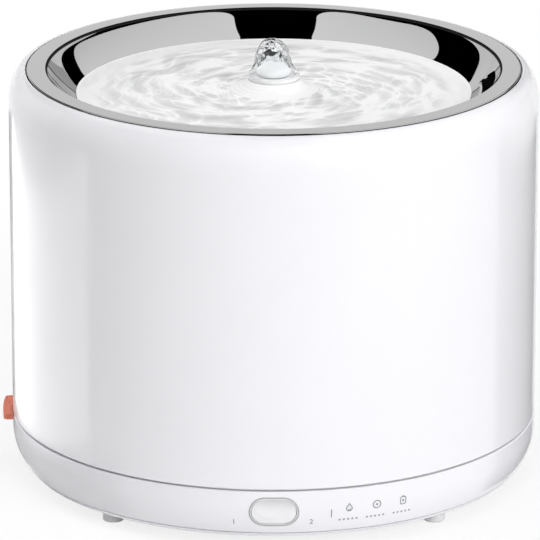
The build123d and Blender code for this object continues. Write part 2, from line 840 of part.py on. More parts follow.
def water_jet():
    low = water_level + water_clearance
    top = water_level + jet_height
    rim = bowl_floor + spout_height
    crown = top - jet_crown_radius
    inner_top = rim + water_gap
    foot_edge = low + water_gap
    ring_level = rim + 2 * water_gap
    neck_level = (ring_level + crown) / 2
    flare = TangentArc((jet_foot_radius, foot_edge), (jet_ring_radius, ring_level), tangent=(-1, 0))
    neck = (jet_crown_radius + water_gap, neck_level)
    side = Polyline((jet_ring_radius, ring_level), neck, (jet_crown_radius, crown))
    dome = CenterArc((0, crown), jet_crown_radius, start_angle=0, arc_size=quarter)
    rest = Polyline((0, top), (0, inner_top), (spout_radius - spout_taper + water_gap, inner_top),
                    (spout_radius + spout_flare + water_gap, low), (jet_foot_radius, low),
                    (jet_foot_radius, foot_edge))
    return lathe(flare, side, dome, rest)


# ---- pump ----------------------------------------------------------------------------------------
pump_bottom = tank_floor_top
pump_top = pump_bottom + pump_height
cage_top = pump_bottom + cage_height
lid_top = cage_top + cage_lid_thickness
axle_low = pump_bottom + pump_floor - axle_sink
rotor_low = pump_bottom + pump_floor + rotor_gap
wheel_low = rotor_low + rotor_height
cover_high = pump_top + pump_cover_thickness
riser_low = cover_high + riser_step
riser_high = bowl_floor - spout_stem_length + riser_engagement


def pump_cage():
    cage = ring(cage_radius, cage_radius - cage_wall, pump_bottom, cage_top)
    cage += ring(cage_radius, pump_radius + slip, pump_bottom, pump_bottom + cage_floor)
    half = cage_slot_width / 2
    slot = block(cage_radius - far_over, cage_radius + far_over, -half, half,
                 pump_bottom + cage_slot_margin, cage_top - cage_slot_margin)
    for cut in around(slot, cage_slot_count):
        cage -= cut
    return cage


def cage_lid():
    lip_outer = cage_radius - cage_wall - slip
    lid = disc(cage_radius, cage_top, lid_top)
    lid += ring(lip_outer, lip_outer - cage_wall, cage_top - cage_lid_lip, cage_top)
    return lid - disc(riser_radius + slip, cage_top - far_over, lid_top + over)


def foam_sleeve():
    outer = cage_radius - cage_wall - foam_gap
    low = pump_bottom + cage_floor
    return ring(outer, outer - foam_thickness, low, low + foam_height)


def pump_body():
    chamber = pump_radius - pump_wall
    body = disc(pump_radius, pump_bottom, pump_top) - disc(chamber, pump_bottom + pump_floor, pump_top + over)
    body -= disc(axle_radius + axle_fit, axle_low, pump_top)
    window_top = pump_top - pump_window_margin
    half = pump_window_width / 2
    window = block(chamber - far_over, pump_radius + far_over, -half, half,
                   window_top - pump_window_height, window_top)
    for cut in around(window, pump_window_count):
        body -= cut
    return body


def pump_cover():
    cover = disc(pump_radius, pump_top, cover_high)
    socket_outer = riser_radius + riser_socket_wall
    cover += disc(socket_outer, cover_high, riser_low + riser_socket_length)
    cover -= disc(riser_bore, pump_top - over, riser_low + over)
    cover -= disc(riser_radius + snug, riser_low, riser_low + riser_socket_length + over)
    arm = block(0, riser_bore + over, -spider_arm / 2, spider_arm / 2, pump_top, cover_high)
    for spoke in around(arm, spider_arm_count):
        cover += spoke
    cover += disc(spider_boss_radius, pump_top, cover_high)
    return cover - disc(axle_radius + axle_fit, pump_top - over, cover_high + over)


def impeller_axle():
    return disc(axle_radius, axle_low, cover_high)


def riser_tube():
    return ring(riser_radius, riser_bore, riser_low, riser_high)


def impeller_magnet():
    return ring(rotor_radius, axle_radius + running, rotor_low, wheel_low)


def impeller_wheel():
    blade_top = wheel_low + blade_height
    wheel = disc(rotor_radius, wheel_low, wheel_low + impeller_disc) + disc(hub_radius, wheel_low, blade_top)
    half = blade_thickness / 2
    blade = block(hub_radius - over, rotor_radius - blade_inset, -half, half, wheel_low, blade_top)
    for vane in around(blade, blade_count):
        wheel += vane
    return wheel - disc(axle_radius + running, wheel_low - over, blade_top + over)


# ---- filter --------------------------------------------------------------------------------------
basket_low = lid_top
basket_top = basket_low + basket_height
media_low = basket_low + basket_wall + media_gap
core_inner = riser_radius + 2 * slip
core_outer = core_inner + basket_wall


def radial_slots(low, high, inner, outer):
    half = basket_slot_width / 2
    return around(block(inner, outer, -half, half, low, high), basket_slot_count)


def filter_basket():
    basket = disc(basket_radius, basket_low, basket_top)
    basket -= ring(basket_radius - basket_wall, core_outer, basket_low + basket_wall, basket_top + over)
    basket -= disc(core_inner, basket_low - over, basket_top + over)
    slot_start = cage_radius + basket_slot_margin / 2
    slot_end = basket_radius - basket_slot_margin
    for cut in radial_slots(basket_low - over, basket_low + basket_wall + over, slot_start, slot_end):
        basket -= cut
    return basket


def media_ring(low, height):
    return ring(basket_radius - basket_wall - slip, core_outer + slip, low, low + height)


def cotton_pad():
    return media_ring(media_low, cotton_height)


def resin_bed():
    return media_ring(media_low + cotton_height, resin_height)


def carbon_bed():
    return media_ring(media_low + cotton_height + resin_height, carbon_height)


def filter_lid():
    lid = ring(basket_radius, core_inner, basket_top, basket_top + filter_lid_thickness)
    lip_outer = basket_radius - basket_wall - slip
    lid += ring(lip_outer, lip_outer - basket_wall, basket_top - filter_lid_lip, basket_top)
    lid_high = basket_top + filter_lid_thickness + over
    slot_start = core_outer + basket_slot_margin
    for cut in radial_slots(basket_top - over, lid_high, slot_start, basket_radius - basket_slot_margin):
        lid -= cut
    return lid


# ---- write every piece ---------------------------------------------------------------------------
os.makedirs("parts", exist_ok=True)

pieces = (
    feet, bottom_cover, cover_screws, base_shell, tank_seat_ring, light_board, status_leds, button_frame,
    mode_button, switch_plunger, switch_housing, switch_board, port_cover, port_bezel, usb_socket, port_board,
    motor_case, motor_coils, motor_bush, drive_shaft, drive_magnet, battery_cells, battery_strap, control_board,
    board_components, tank_shell, drinking_tray, tray_seal, spout_nozzle, spout_gasket, spout_nut, water_pool,
    water_jet, pump_cage, cage_lid, foam_sleeve, pump_body, pump_cover, impeller_axle, riser_tube,
    impeller_magnet, impeller_wheel, filter_basket, cotton_pad, resin_bed, carbon_bed, filter_lid,
)
for piece in pieces:
    save(piece.__name__, piece())

for name, light in zip(("drop_light", "filter_light", "battery_light"), status_lights()):
    save(name, light)
save("level_pips", group(level_pip_list()))
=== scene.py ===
# %% [markdown]
# # A pet water fountain with a spring in a steel tray
# The object is a round tank on a low base. A mirror-polished steel tray lies on top, and water wells up
# through a spout in its middle, runs over the tray and falls back into the tank through a slot.
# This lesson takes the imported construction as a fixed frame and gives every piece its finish. The thin tray
# and the pieces that are soft, wet or granular are modelled here and stand for their plain solids.

# %% Load the frame
import math

import bmesh
import bpy
from mathutils import Matrix, Vector, noise


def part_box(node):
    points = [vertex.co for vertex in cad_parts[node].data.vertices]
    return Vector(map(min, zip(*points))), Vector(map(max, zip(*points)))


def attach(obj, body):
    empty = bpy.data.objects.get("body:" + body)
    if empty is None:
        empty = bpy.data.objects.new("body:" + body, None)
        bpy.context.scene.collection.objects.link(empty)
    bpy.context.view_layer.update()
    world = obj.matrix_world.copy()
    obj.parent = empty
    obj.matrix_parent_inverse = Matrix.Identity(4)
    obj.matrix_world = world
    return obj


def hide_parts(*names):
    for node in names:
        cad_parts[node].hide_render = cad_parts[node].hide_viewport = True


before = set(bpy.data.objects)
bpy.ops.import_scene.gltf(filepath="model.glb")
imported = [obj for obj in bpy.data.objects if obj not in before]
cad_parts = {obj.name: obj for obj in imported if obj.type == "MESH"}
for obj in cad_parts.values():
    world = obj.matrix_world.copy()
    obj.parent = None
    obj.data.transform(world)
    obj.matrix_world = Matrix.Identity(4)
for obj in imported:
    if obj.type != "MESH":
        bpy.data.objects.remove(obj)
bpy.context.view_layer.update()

# %% [markdown]
# ## Sizes
# Everything is in metres, in the frame of the construction: the button faces -Y and the origin lies between
# the feet. Outlines are given in millimetres, which read more easily, and are scaled by MM. What the new
# pieces have to fit is read from the boxes of the nodes, so a piece still fits when the construction changes.

# %% Sizes from the frame
MM = 0.001
body_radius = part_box("tank_shell")[1].x
water_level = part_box("water_pool")[1].z / MM
button_low, button_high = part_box("button_frame")
button_level = (button_low.z + button_high.z) / 2
print("body radius", round(body_radius, 4), "m, water level", round(water_level, 2), "mm")

# %% [markdown]
# ## Camera
# The fountain is seen from a little above, from far away with a long lens, which keeps its sides almost
# parallel. The camera only turns about its own X axis, so upright edges stay upright.

# %% Camera
def link(name, data):
    """New object in the scene."""
    obj = bpy.data.objects.new(name, data)
    bpy.context.scene.collection.objects.link(obj)
    return obj


camera_pitch = math.radians(17.529)
camera_data = bpy.data.cameras.new("camera")
camera_data.sensor_width = 36.0
camera_data.lens = 371.517
camera_data.clip_end = 100.0
camera = link("camera", camera_data)
camera.location = (-1.361 * MM, -1923.52 * MM, 680.83 * MM)
camera.rotation_euler = (math.pi / 2 - camera_pitch, 0, 0)
bpy.context.scene.camera = camera
bpy.context.scene.view_settings.view_transform = "Standard"
print("camera", round(camera.location.length, 2), "m away, lens", round(camera_data.lens), "mm")

# %% [markdown]
# ## Nodes in a script
# Materials, the world and Geometry Nodes are all node trees. In a script a node takes three steps: create it,
# set its values and join its sockets. One helper does all three, so that a tree reads like a list in which
# each line is a node with what goes into it.

# %% Node helpers
def add(tree, kind, inputs=None, **settings):
    """New node. An input is a value, an output, or a node, which stands for its first output."""
    node = tree.nodes.new(kind)
    for setting, value in settings.items():
        setattr(node, setting, value)
    for socket, value in (inputs or {}).items():
        if isinstance(value, bpy.types.Node):
            value = value.outputs[0]
        if isinstance(value, bpy.types.NodeSocket):
            tree.links.new(value, node.inputs[socket])
        else:
            node.inputs[socket].default_value = value
    return node


def maths(tree, operation, *values):
    """Math node on values or on what other nodes give."""
    return add(tree, "ShaderNodeMath", dict(enumerate(values)), operation=operation)


def empty_tree(owner):
    """Empty node tree of a material or of the world."""
    owner.use_nodes = True
    owner.node_tree.nodes.clear()
    return owner.node_tree


# %% [markdown]
# ## Studio
# A mirror shows the room and not itself, so polished steel needs a room worth showing. In a studio a black
# canopy hangs over such a tray, with white panels under it: the steel then turns black between clean light
# fields. The world is white to the camera and in reflections, and a calm level for everything else.

# %% World
def seen_directly(tree):
    """1 for rays from the camera, off mirrors and through glass, and 0 for the rays that gather light."""
    path = add(tree, "ShaderNodeLightPath")
    seen = maths(tree, "MAXIMUM", path.outputs["Is Camera Ray"], path.outputs["Is Glossy Ray"])
    return maths(tree, "MAXIMUM", seen, path.outputs["Is Transmission Ray"])


white = (1, 1, 1, 1)
ambient_level = 0.215
world = bpy.data.worlds.new("studio")
bpy.context.scene.world = world
tree = empty_tree(world)
ambient = add(tree, "ShaderNodeBackground", {"Strength": ambient_level, "Color": white})
backdrop = add(tree, "ShaderNodeBackground", {"Strength": 1.0, "Color": white})
choose = add(tree, "ShaderNodeMixShader", {"Fac": seen_directly(tree), 1: ambient, 2: backdrop})
add(tree, "ShaderNodeOutputWorld", {"Surface": choose})
print("ambient level", ambient_level)

# %% [markdown]
# The lamps are large and soft, and each is given by its direction: the azimuth counts from the front towards
# +X. The key hangs in front, a little to the right. A second lamp stands behind on the left and gives the
# tank's left edge its bright line.

# %% Lamps
aim = Vector((0, 0, 0.08))


def area_lamp(name, azimuth, elevation, distance, size, power):
    """Square soft lamp that looks at the fountain."""
    turn = math.radians(azimuth)
    level = distance * math.cos(math.radians(elevation))
    height = distance * math.sin(math.radians(elevation))
    data = bpy.data.lights.new(name, "AREA")
    data.size = size
    data.energy = power
    lamp = link(name, data)
    lamp.location = aim + Vector((level * math.sin(turn), -level * math.cos(turn), height))
    lamp.rotation_mode = "QUATERNION"
    lamp.rotation_quaternion = (aim - lamp.location).to_track_quat("-Z", "Y")
    lamp.visible_glossy = False
    lamp.visible_transmission = False
    print(name, [round(x, 2) for x in lamp.location])


area_lamp("key_lamp", azimuth=33, elevation=25, distance=1.9, size=1.0, power=21.7)
area_lamp("left_lamp", azimuth=-130, elevation=15, distance=1.5, size=0.8, power=12.0)
area_lamp("top_lamp", azimuth=0, elevation=80, distance=1.7, size=1.2, power=12.8)

# %% [markdown]
# The canopy and the panels are flat cards that only reflections can see, so they shape the steel and leave
# the light alone. They glow by themselves. A glow that falls off sideways looks softer than an even one, and
# the black canopy turns grey where one part of the tray mirrors it by way of another, as dark cloth would.

# %% Glow for cards
glow_reach = 1.3


def glow_material(name, near, far, again=None):
    """Plain glow that falls from near at the middle to far at glow_reach to either side.

    A card that is mirrored twice may show another level, again.
    """
    material = bpy.data.materials.new(name)
    tree = empty_tree(material)
    place = add(tree, "ShaderNodeTexCoord")
    split = add(tree, "ShaderNodeSeparateXYZ", {0: place.outputs["Object"]})
    side = maths(tree, "ABSOLUTE", split.outputs["X"])
    fall = add(tree, "ShaderNodeMapRange", {"Value": side, "From Max": glow_reach,
                                            "To Min": near, "To Max": far})
    glow = add(tree, "ShaderNodeEmission", {"Strength": fall})
    if again is not None:
        path = add(tree, "ShaderNodeLightPath")
        twice = maths(tree, "GREATER_THAN", path.outputs["Glossy Depth"], 1.5)
        second = add(tree, "ShaderNodeEmission", {"Strength": again})
        glow = add(tree, "ShaderNodeMixShader", {"Fac": twice, 1: glow, 2: second})
    add(tree, "ShaderNodeOutputMaterial", {"Surface": glow})
    print("glow", name, near, far)
    return material


# %% [markdown]
# A card is one flat face. Camera, soft light and shadows ignore it, and it isn't part of the object, so it is
# given to the stage.

# %% Cards for reflections
def mirror_card(name, corners, material):
    """Flat card that only mirrors see."""
    mesh = bpy.data.meshes.new(name)
    mesh.from_pydata(corners, [], [range(len(corners))])
    mesh.materials.append(material)
    card = link(name, mesh)
    card.visible_camera = False
    card.visible_diffuse = False
    card.visible_shadow = False
    print(name, len(corners), "corners")


def level_card(name, outline, height, material):
    """Card that lies level at a height."""
    mirror_card(name, [(x, y, height) for x, y in outline], material)


# %% [markdown]
# Canopy and panels hang at one metre above the floor. Each outline is a few corners, rounded by cutting them
# three times over: every side gets two points, a quarter of the way in from its ends, and the outline nears a
# smooth curve. The spring's outline will use the same cut.

# %% Canopy and panels
card_height = 1.0


def cut(here, after):
    """The two points a quarter of the way in from the ends of one side."""
    return [(keep * here[0] + (1 - keep) * after[0], keep * here[1] + (1 - keep) * after[1])
            for keep in (0.75, 0.25)]


def rounded(corners, times=3):
    """Closed outline with its corners cut, over and over."""
    for _ in range(times):
        corners = [point for side in zip(corners, corners[1:] + corners[:1]) for point in cut(*side)]
    return corners


canopy_outline = [(-0.69, 2.85), (-0.90, 2.34), (-1.24, 2.11), (-1.42, 1.75), (-1.38, 1.10), (-1.10, 0.30),
                  (-1.00, -0.40), (-0.60, -1.00), (0.60, -1.00), (1.00, -0.40), (1.08, 0.30), (1.25, 0.90),
                  (1.50, 1.70), (1.66, 2.45), (1.55, 2.95), (1.02, 3.10), (0.72, 3.50), (0.45, 2.60),
                  (0.0, 1.70), (-0.40, 2.30)]
left_outline = [(-0.07, 1.00), (-0.08, 0.40), (-0.17, -0.02), (-0.24, -0.30), (-0.42, -0.30), (-0.66, 0.00),
                (-0.84, 0.20), (-0.87, 0.40), (-0.74, 0.62), (-0.58, 0.82), (-0.38, 1.02), (-0.20, 1.15)]
right_outline = [(0.06, 1.00), (0.07, 0.40), (0.15, 0.00), (0.22, -0.29), (0.40, -0.30), (0.66, -0.08),
                 (0.92, 0.32), (1.08, 0.68), (1.25, 1.15), (1.27, 1.42), (1.08, 1.57), (0.82, 1.68),
                 (0.55, 1.95), (0.30, 1.90)]
canopy_black = glow_material("canopy_black", 0.0, 0.0, again=0.70)
panel_white = glow_material("panel_white", 1.05, 0.75)
level_card("canopy", rounded(canopy_outline), card_height, canopy_black)
level_card("left_panel", rounded(left_outline), card_height - 0.01, panel_white)
level_card("right_panel", rounded(right_outline), card_height - 0.01, panel_white)

# %% [markdown]
# A light grey ceiling above the canopy calms the rim band. Three sheets stand far behind: the darkest, right
# of the middle, is what the left end of the bowl's wall mirrors, and the paler ones serve the rest of it.

# %% Ceiling and back sheets
def upright_card(name, first, last, level, distance=4.2, height=1.2):
    """Sheet that stands behind the fountain, from first to last in X."""
    corners = [(first, distance, 0), (last, distance, 0), (last, distance, height), (first, distance, height)]
    mirror_card(name, corners, glow_material(name, level, level))


ceiling_outline = [(-3.0, -2.0), (3.0, -2.0), (3.0, 5.0), (-3.0, 5.0)]
patch_outline = [(0.6, 3.2), (1.42, 3.2), (2.2, 5.0), (0.6, 5.0)]
level_card("ceiling", ceiling_outline, card_height + 0.02, glow_material("ceiling", 0.80, 0.80))
level_card("ceiling_patch", patch_outline, card_height + 0.01, glow_material("ceiling_patch", 0.42, 0.42))
upright_card("back_right_sheet", 0.45, 1.87, level=0.42)
upright_card("far_right_sheet", 1.87, 5.0, level=0.75)
upright_card("back_left_sheet", -3.0, -0.45, level=0.75)

# %% [markdown]
# The glossy tank mirrors the floor beside it, most of all near its edges. Sheets lie there, again only for
# mirrors: a dark one shades the tank's right edge, a bright one lights its left side without any more lamp,
# and a narrow grey one draws a fine line down the left edge. The low base mirrors only the floor close by,
# so the bright sheet begins further out and a grey one lies between.

# %% Sheets on the floor
def floor_sheet(name, first, last, level, near=0.0, reach=0.48):
    """Sheet where the tank's face between two azimuths mirrors the floor, from near to reach off the wall."""
    corners = []
    for azimuth, offsets in ((first, (near, reach)), (last, (reach, near))):
        turn = math.radians(azimuth)
        for offset in offsets:
            corners.append((body_radius * math.sin(turn) + offset * math.sin(2 * turn),
                            -body_radius * math.cos(turn) - offset * math.cos(2 * turn)))
    level_card(name, corners, MM, glow_material(name, level, level))


floor_sheet("right_sheet", 57, 81, level=0.02)
floor_sheet("left_glow", -44, -79.5, level=2.7, near=0.085)
floor_sheet("base_shade", -35, -79.5, level=0.30, reach=0.08)
floor_sheet("left_sheet", -80, -90, level=0.25)

# %% [markdown]
# ## Floor
# The floor is a white board. To the camera it is mostly the white of the room, with enough of its own
# shading left to keep the fountain's shadow, and it fades into the room further out.

# %% Floor
floor_half = 6.0
fade_start, fade_end = 0.10, 0.42
room_share = 0.80
floor_mesh = bpy.data.meshes.new("floor")
floor_mesh.from_pydata([(x * floor_half, y * floor_half, 0) for x, y in ((-1, -1), (1, -1), (1, 1), (-1, 1))],
                       [], [(0, 1, 2, 3)])
floor_material = bpy.data.materials.new("floor_board")
floor_mesh.materials.append(floor_material)
tree = empty_tree(floor_material)
place = add(tree, "ShaderNodeTexCoord")
distance = add(tree, "ShaderNodeVectorMath", {0: place.outputs["Object"]}, operation="LENGTH")
fade = add(tree, "ShaderNodeMapRange", {"Value": distance.outputs["Value"], "From Min": fade_start,
                                        "From Max": fade_end, "To Min": room_share, "To Max": 1.0},
           interpolation_type="SMOOTHSTEP")
board = add(tree, "ShaderNodeBsdfDiffuse", {"Color": (0.92, 0.92, 0.92, 1)})
room = add(tree, "ShaderNodeEmission", {"Color": white})
choose = add(tree, "ShaderNodeMixShader", {"Fac": maths(tree, "MULTIPLY", fade, seen_directly(tree)),
                                           1: board, 2: room})
add(tree, "ShaderNodeOutputMaterial", {"Surface": choose})
link("floor", floor_mesh)
print("floor", 2 * floor_half, "m across")

# %% [markdown]
# ## Finishes
# A moulded or machined surface is never one flat colour. The helper below builds the part that all finishes
# share: a shader whose colour and roughness drift a little over the piece, and a fine bump. Patterns read
# Object coordinates, so they keep their real scale on every piece. The noise for the drift lies mostly
# between the two cloud levels.

# %% Finish helper
cloud_low, cloud_high = 0.3, 0.7


def finish(name, colour, roughness, drift=0.03, drift_scale=35.0, grain_scale=900.0, grain_height=0.01 * MM,
           rough_drift=0.05, metallic=0.0, specular=0.5, stretch=(1, 1, 1)):
    """Principled material with drifting colour and roughness and a fine grain."""
    material = bpy.data.materials.new(name)
    tree = empty_tree(material)
    place = add(tree, "ShaderNodeTexCoord", name="place")
    mapping = add(tree, "ShaderNodeMapping", {"Vector": place.outputs["Object"], "Scale": stretch})
    clouds = add(tree, "ShaderNodeTexNoise", {"Vector": mapping, "Scale": drift_scale, "Detail": 3.0})
    grain = add(tree, "ShaderNodeTexNoise", {"Vector": mapping, "Scale": grain_scale, "Detail": 2.0})
    dark = [c * (1 - drift) for c in colour]
    light = [min(1.0, c * (1 + drift)) for c in colour]
    tone = add(tree, "ShaderNodeMix", {"Factor": clouds.outputs["Fac"], "A": (*dark, 1), "B": (*light, 1)},
               data_type="RGBA", name="colour")
    rough = add(tree, "ShaderNodeMapRange", {"Value": clouds.outputs["Fac"],
                                             "From Min": cloud_low, "From Max": cloud_high,
                                             "To Min": max(0.0, roughness - rough_drift),
                                             "To Max": roughness + rough_drift})
    bump = add(tree, "ShaderNodeBump", {"Height": grain.outputs["Fac"], "Distance": grain_height,
                                        "Strength": 1.0}, name="bump")
    shader = add(tree, "ShaderNodeBsdfPrincipled",
                 {"Base Color": tone.outputs["Result"], "Roughness": rough, "Normal": bump,
                  "Metallic": metallic, "Specular IOR Level": specular}, name="shader")
    add(tree, "ShaderNodeOutputMaterial", {"Surface": shader})
    return material


def dress(material, *nodes):
    """Give carried-over nodes a finish."""
    for node in nodes:
        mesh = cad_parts[node].data
        mesh.materials.clear()
        mesh.materials.append(material)
    print(material.name, "on", ", ".join(nodes))


# %% [markdown]
# ### Plastics
# Tank and base are injection-moulded ABS, polished in the mould: almost white, glossy, with the faintest
# orange-peel. Hidden plastic parts come from spark-eroded moulds and are duller and grainier.

# %% Plastics
white_plastic = finish("white_plastic", (0.855, 0.853, 0.885), 0.16, drift=0.006, rough_drift=0.03,
                       grain_scale=260.0, grain_height=0.004 * MM)
inner_plastic = finish("inner_plastic", (0.80, 0.80, 0.81), 0.38, drift=0.015, grain_scale=1500.0)
button_plastic = finish("button_plastic", (0.84, 0.84, 0.85), 0.30, drift=0.01, grain_scale=1800.0,
                        grain_height=0.006 * MM)
trim_plastic = finish("trim_plastic", (0.42, 0.42, 0.43), 0.35, drift=0.03, grain_scale=2000.0)
pump_plastic = finish("pump_plastic", (0.26, 0.28, 0.31), 0.42, drift=0.04, grain_scale=1400.0)
black_plastic = finish("black_plastic", (0.022, 0.022, 0.025), 0.45, drift=0.10, grain_scale=1600.0)
light_guide = finish("light_guide", (0.76, 0.77, 0.80), 0.22, drift=0.02, grain_scale=1200.0)
pip_plastic = finish("pip_plastic", (0.30, 0.30, 0.315), 0.30, drift=0.05, grain_scale=1200.0)
dress(white_plastic, "tank_shell", "base_shell", "bottom_cover")
dress(inner_plastic, "spout_nozzle", "spout_nut", "pump_cage", "cage_lid", "filter_basket", "filter_lid")
dress(button_plastic, "mode_button")
dress(trim_plastic, "port_bezel")
dress(pump_plastic, "pump_body", "pump_cover", "riser_tube", "impeller_wheel")
dress(black_plastic, "switch_plunger", "switch_housing", "battery_strap", "board_components")
dress(light_guide, "drop_light", "filter_light", "battery_light", "status_leds")
dress(pip_plastic, "level_pips")

# %% [markdown]
# The button's frame is white with a grey outer line: painted shade for the gap between frame and base. The
# line follows the frame's long round shape, so a few nodes measure the distance from the shape's middle line:
# past the ends of that line the distance is the usual one, and between them only the height counts.

# %% Button frame
frame_half = (button_high.z - button_low.z) / 2
gap_shade_width = 0.50 * MM


def from_middle_line(tree):
    """Distance from the middle line of the button's long round shape, in metres."""
    half_line = (button_high.x - button_low.x) / 2 - frame_half
    split = add(tree, "ShaderNodeSeparateXYZ", {0: tree.nodes["place"].outputs["Object"]})
    past = maths(tree, "SUBTRACT", maths(tree, "ABSOLUTE", split.outputs["X"]), half_line)
    across = maths(tree, "MAXIMUM", past, 0.0)
    up = maths(tree, "SUBTRACT", split.outputs["Z"], button_level)
    join = add(tree, "ShaderNodeCombineXYZ", {"X": across, "Y": up})
    return add(tree, "ShaderNodeVectorMath", {0: join}, operation="LENGTH").outputs["Value"]


frame_gap_shade = finish("frame_gap_shade", (0.84, 0.84, 0.85), 0.30, drift=0.01, grain_scale=1800.0)
tree = frame_gap_shade.node_tree
# The frame's outer band is painted grey, as shade for the gap round it.
line = maths(tree, "GREATER_THAN", from_middle_line(tree), frame_half - gap_shade_width)
gap_shade_paint = add(tree, "ShaderNodeMix", {"Factor": line, "A": tree.nodes["colour"].outputs["Result"],
                                    "B": (0.40, 0.40, 0.41, 1)}, data_type="RGBA")
tree.links.new(gap_shade_paint.outputs["Result"], tree.nodes["shader"].inputs["Base Color"])
dress(frame_gap_shade, "button_frame")

# %% [markdown]
# The button's face is hollowed for the fingertip, most of all under its upper edge. The solid has a shallow
# dish in the middle, and a bump that rises towards the upper edge makes it look deeper there without a cut.

# %% Button hollow
hollow_start = button_level - 0.5 * MM
hollow_end = button_level + 4.65 * MM
hollow_depth = 2.0 * MM
tree = button_plastic.node_tree
split = add(tree, "ShaderNodeSeparateXYZ", {0: tree.nodes["place"].outputs["Object"]})
share = add(tree, "ShaderNodeMapRange", {"Value": split.outputs["Z"], "From Min": hollow_start,
                                         "From Max": hollow_end})
hollow = add(tree, "ShaderNodeBump", {"Height": maths(tree, "POWER", share, 2.0), "Distance": hollow_depth,
                                      "Normal": tree.nodes["bump"]})
tree.links.new(hollow.outputs["Normal"], tree.nodes["shader"].inputs["Normal"])
print("button level", round(button_level, 4))

# %% [markdown]
# ### Rubbers
# Silicone is soft and slightly cloudy: rough, with a trace of dust in its grain. The orange cover's tongue
# has a grip of small pits, one to a cell of a Voronoi pattern that is kept nearly regular. Each pit is also
# darkened in colour, as painted shade.

# %% Rubbers
dusty = {"grain_scale": 700.0, "grain_height": 0.02 * MM}
grey_silicone = finish("grey_silicone", (0.50, 0.50, 0.52), 0.55, drift=0.05, **dusty)
pale_silicone = finish("pale_silicone", (0.74, 0.74, 0.75), 0.50, drift=0.03, **dusty)
orange_silicone = finish("orange_silicone", (0.86, 0.21, 0.12), 0.45, drift=0.08, grain_scale=600.0,
                         grain_height=0.02 * MM)
pits_per_metre = 900.0
pit_middle, pit_rim = 0.26, 0.40
pit_shade = 0.42
pit_depth = 0.12 * MM
tree = orange_silicone.node_tree
dots = add(tree, "ShaderNodeTexVoronoi", {"Vector": tree.nodes["place"].outputs["Object"],
                                          "Scale": pits_per_metre, "Randomness": 0.35})
pit_height_and_shade = add(tree, "ShaderNodeMapRange", {"Value": dots.outputs["Distance"], "From Min": pit_middle,
                                        "From Max": pit_rim, "To Min": pit_shade, "To Max": 1.0})
# The colour darkens towards each pit's middle: painted shade in the pits.
shade = add(tree, "ShaderNodeMix", {"Factor": 1.0, "A": tree.nodes["colour"].outputs["Result"], "B": pit_height_and_shade},
            data_type="RGBA", blend_type="MULTIPLY")
pits = add(tree, "ShaderNodeBump", {"Height": pit_height_and_shade, "Distance": pit_depth, "Normal": tree.nodes["bump"]})
tree.links.new(shade.outputs["Result"], tree.nodes["shader"].inputs["Base Color"])
tree.links.new(pits.outputs["Normal"], tree.nodes["shader"].inputs["Normal"])
dress(grey_silicone, "tray_seal", "spout_gasket")
dress(pale_silicone, "feet", "tank_seat_ring")
dress(orange_silicone, "port_cover")

# %% [markdown]
# ### Metals
# The tray is deep-drawn stainless steel, polished to a mirror; what is left is a hint of the polishing
# wheel's work. Screws, shafts and cases are plated or plainly turned. The copper's grain is squeezed
# lengthwise, so that it lies in layers like a winding.

# %% Metals
polished_steel = finish("polished_steel", (0.575, 0.575, 0.58), 0.025, drift=0.01, metallic=1.0,
                        rough_drift=0.012, grain_scale=60.0, grain_height=0.002 * MM)
plated_steel = finish("plated_steel", (0.56, 0.56, 0.57), 0.22, drift=0.04, metallic=1.0, grain_scale=500.0)
screw_steel = finish("screw_steel", (0.48, 0.48, 0.49), 0.32, drift=0.08, metallic=1.0, grain_scale=900.0)
bronze = finish("bronze_bush", (0.50, 0.30, 0.12), 0.45, drift=0.12, metallic=1.0, grain_scale=2500.0,
                grain_height=0.03 * MM)
copper = finish("copper_winding", (0.62, 0.22, 0.09), 0.35, drift=0.08, metallic=1.0, grain_scale=300.0,
                stretch=(1, 1, 12), grain_height=0.15 * MM)
magnet = finish("magnet_plating", (0.42, 0.42, 0.43), 0.28, drift=0.06, metallic=1.0, grain_scale=400.0)
ceramic = finish("axle_ceramic", (0.80, 0.80, 0.74), 0.22, drift=0.02, grain_scale=2500.0)
dress(plated_steel, "usb_socket", "motor_case")
dress(screw_steel, "cover_screws", "drive_shaft")
dress(bronze, "motor_bush")
dress(copper, "motor_coils")
dress(magnet, "drive_magnet", "impeller_magnet")
dress(ceramic, "impeller_axle")

# %% [markdown]
# ### Electronics and filter media
# Circuit boards show copper traces under green lacquer. The cells wear a thin blue wrap. The filter holds a
# cotton pad, amber resin beads and black carbon grains.

# %% Electronics and filter media
board_green = finish("circuit_board", (0.02, 0.16, 0.07), 0.30, drift=0.25, drift_scale=320.0,
                     grain_scale=1500.0)
cell_wrap = finish("cell_wrap", (0.05, 0.16, 0.42), 0.30, drift=0.08, grain_scale=220.0,
                   grain_height=0.05 * MM)
foam = finish("filter_foam", (0.035, 0.035, 0.038), 0.95, drift=0.3, grain_scale=1400.0,
              grain_height=0.3 * MM)
cotton = finish("filter_cotton", (0.82, 0.82, 0.79), 0.95, drift=0.05, grain_scale=1800.0,
                grain_height=0.2 * MM)
resin = finish("filter_resin", (0.62, 0.34, 0.08), 0.20, drift=0.25, drift_scale=900.0, grain_scale=2500.0)
carbon = finish("filter_carbon", (0.016, 0.016, 0.017), 0.55, drift=0.3, drift_scale=700.0,
                grain_scale=1500.0)
dress(board_green, "light_board", "switch_board", "port_board", "control_board")
dress(cell_wrap, "battery_cells")

# %% [markdown]
# ## Water
# Water is clear, but this water is full of fine bubbles from the pump, so it is glass mixed with a little
# white, and where the bubbles are thickest they make lather, which has no gloss at all. Clear water also lets
# the lamps' light through to what lies in it, which shadow rays need to be told.

# %% Water finish
water_bend = 1.333
bubble_white = (0.985, 0.985, 0.985, 1)
lather_start, lather_full = 0.78, 1.02


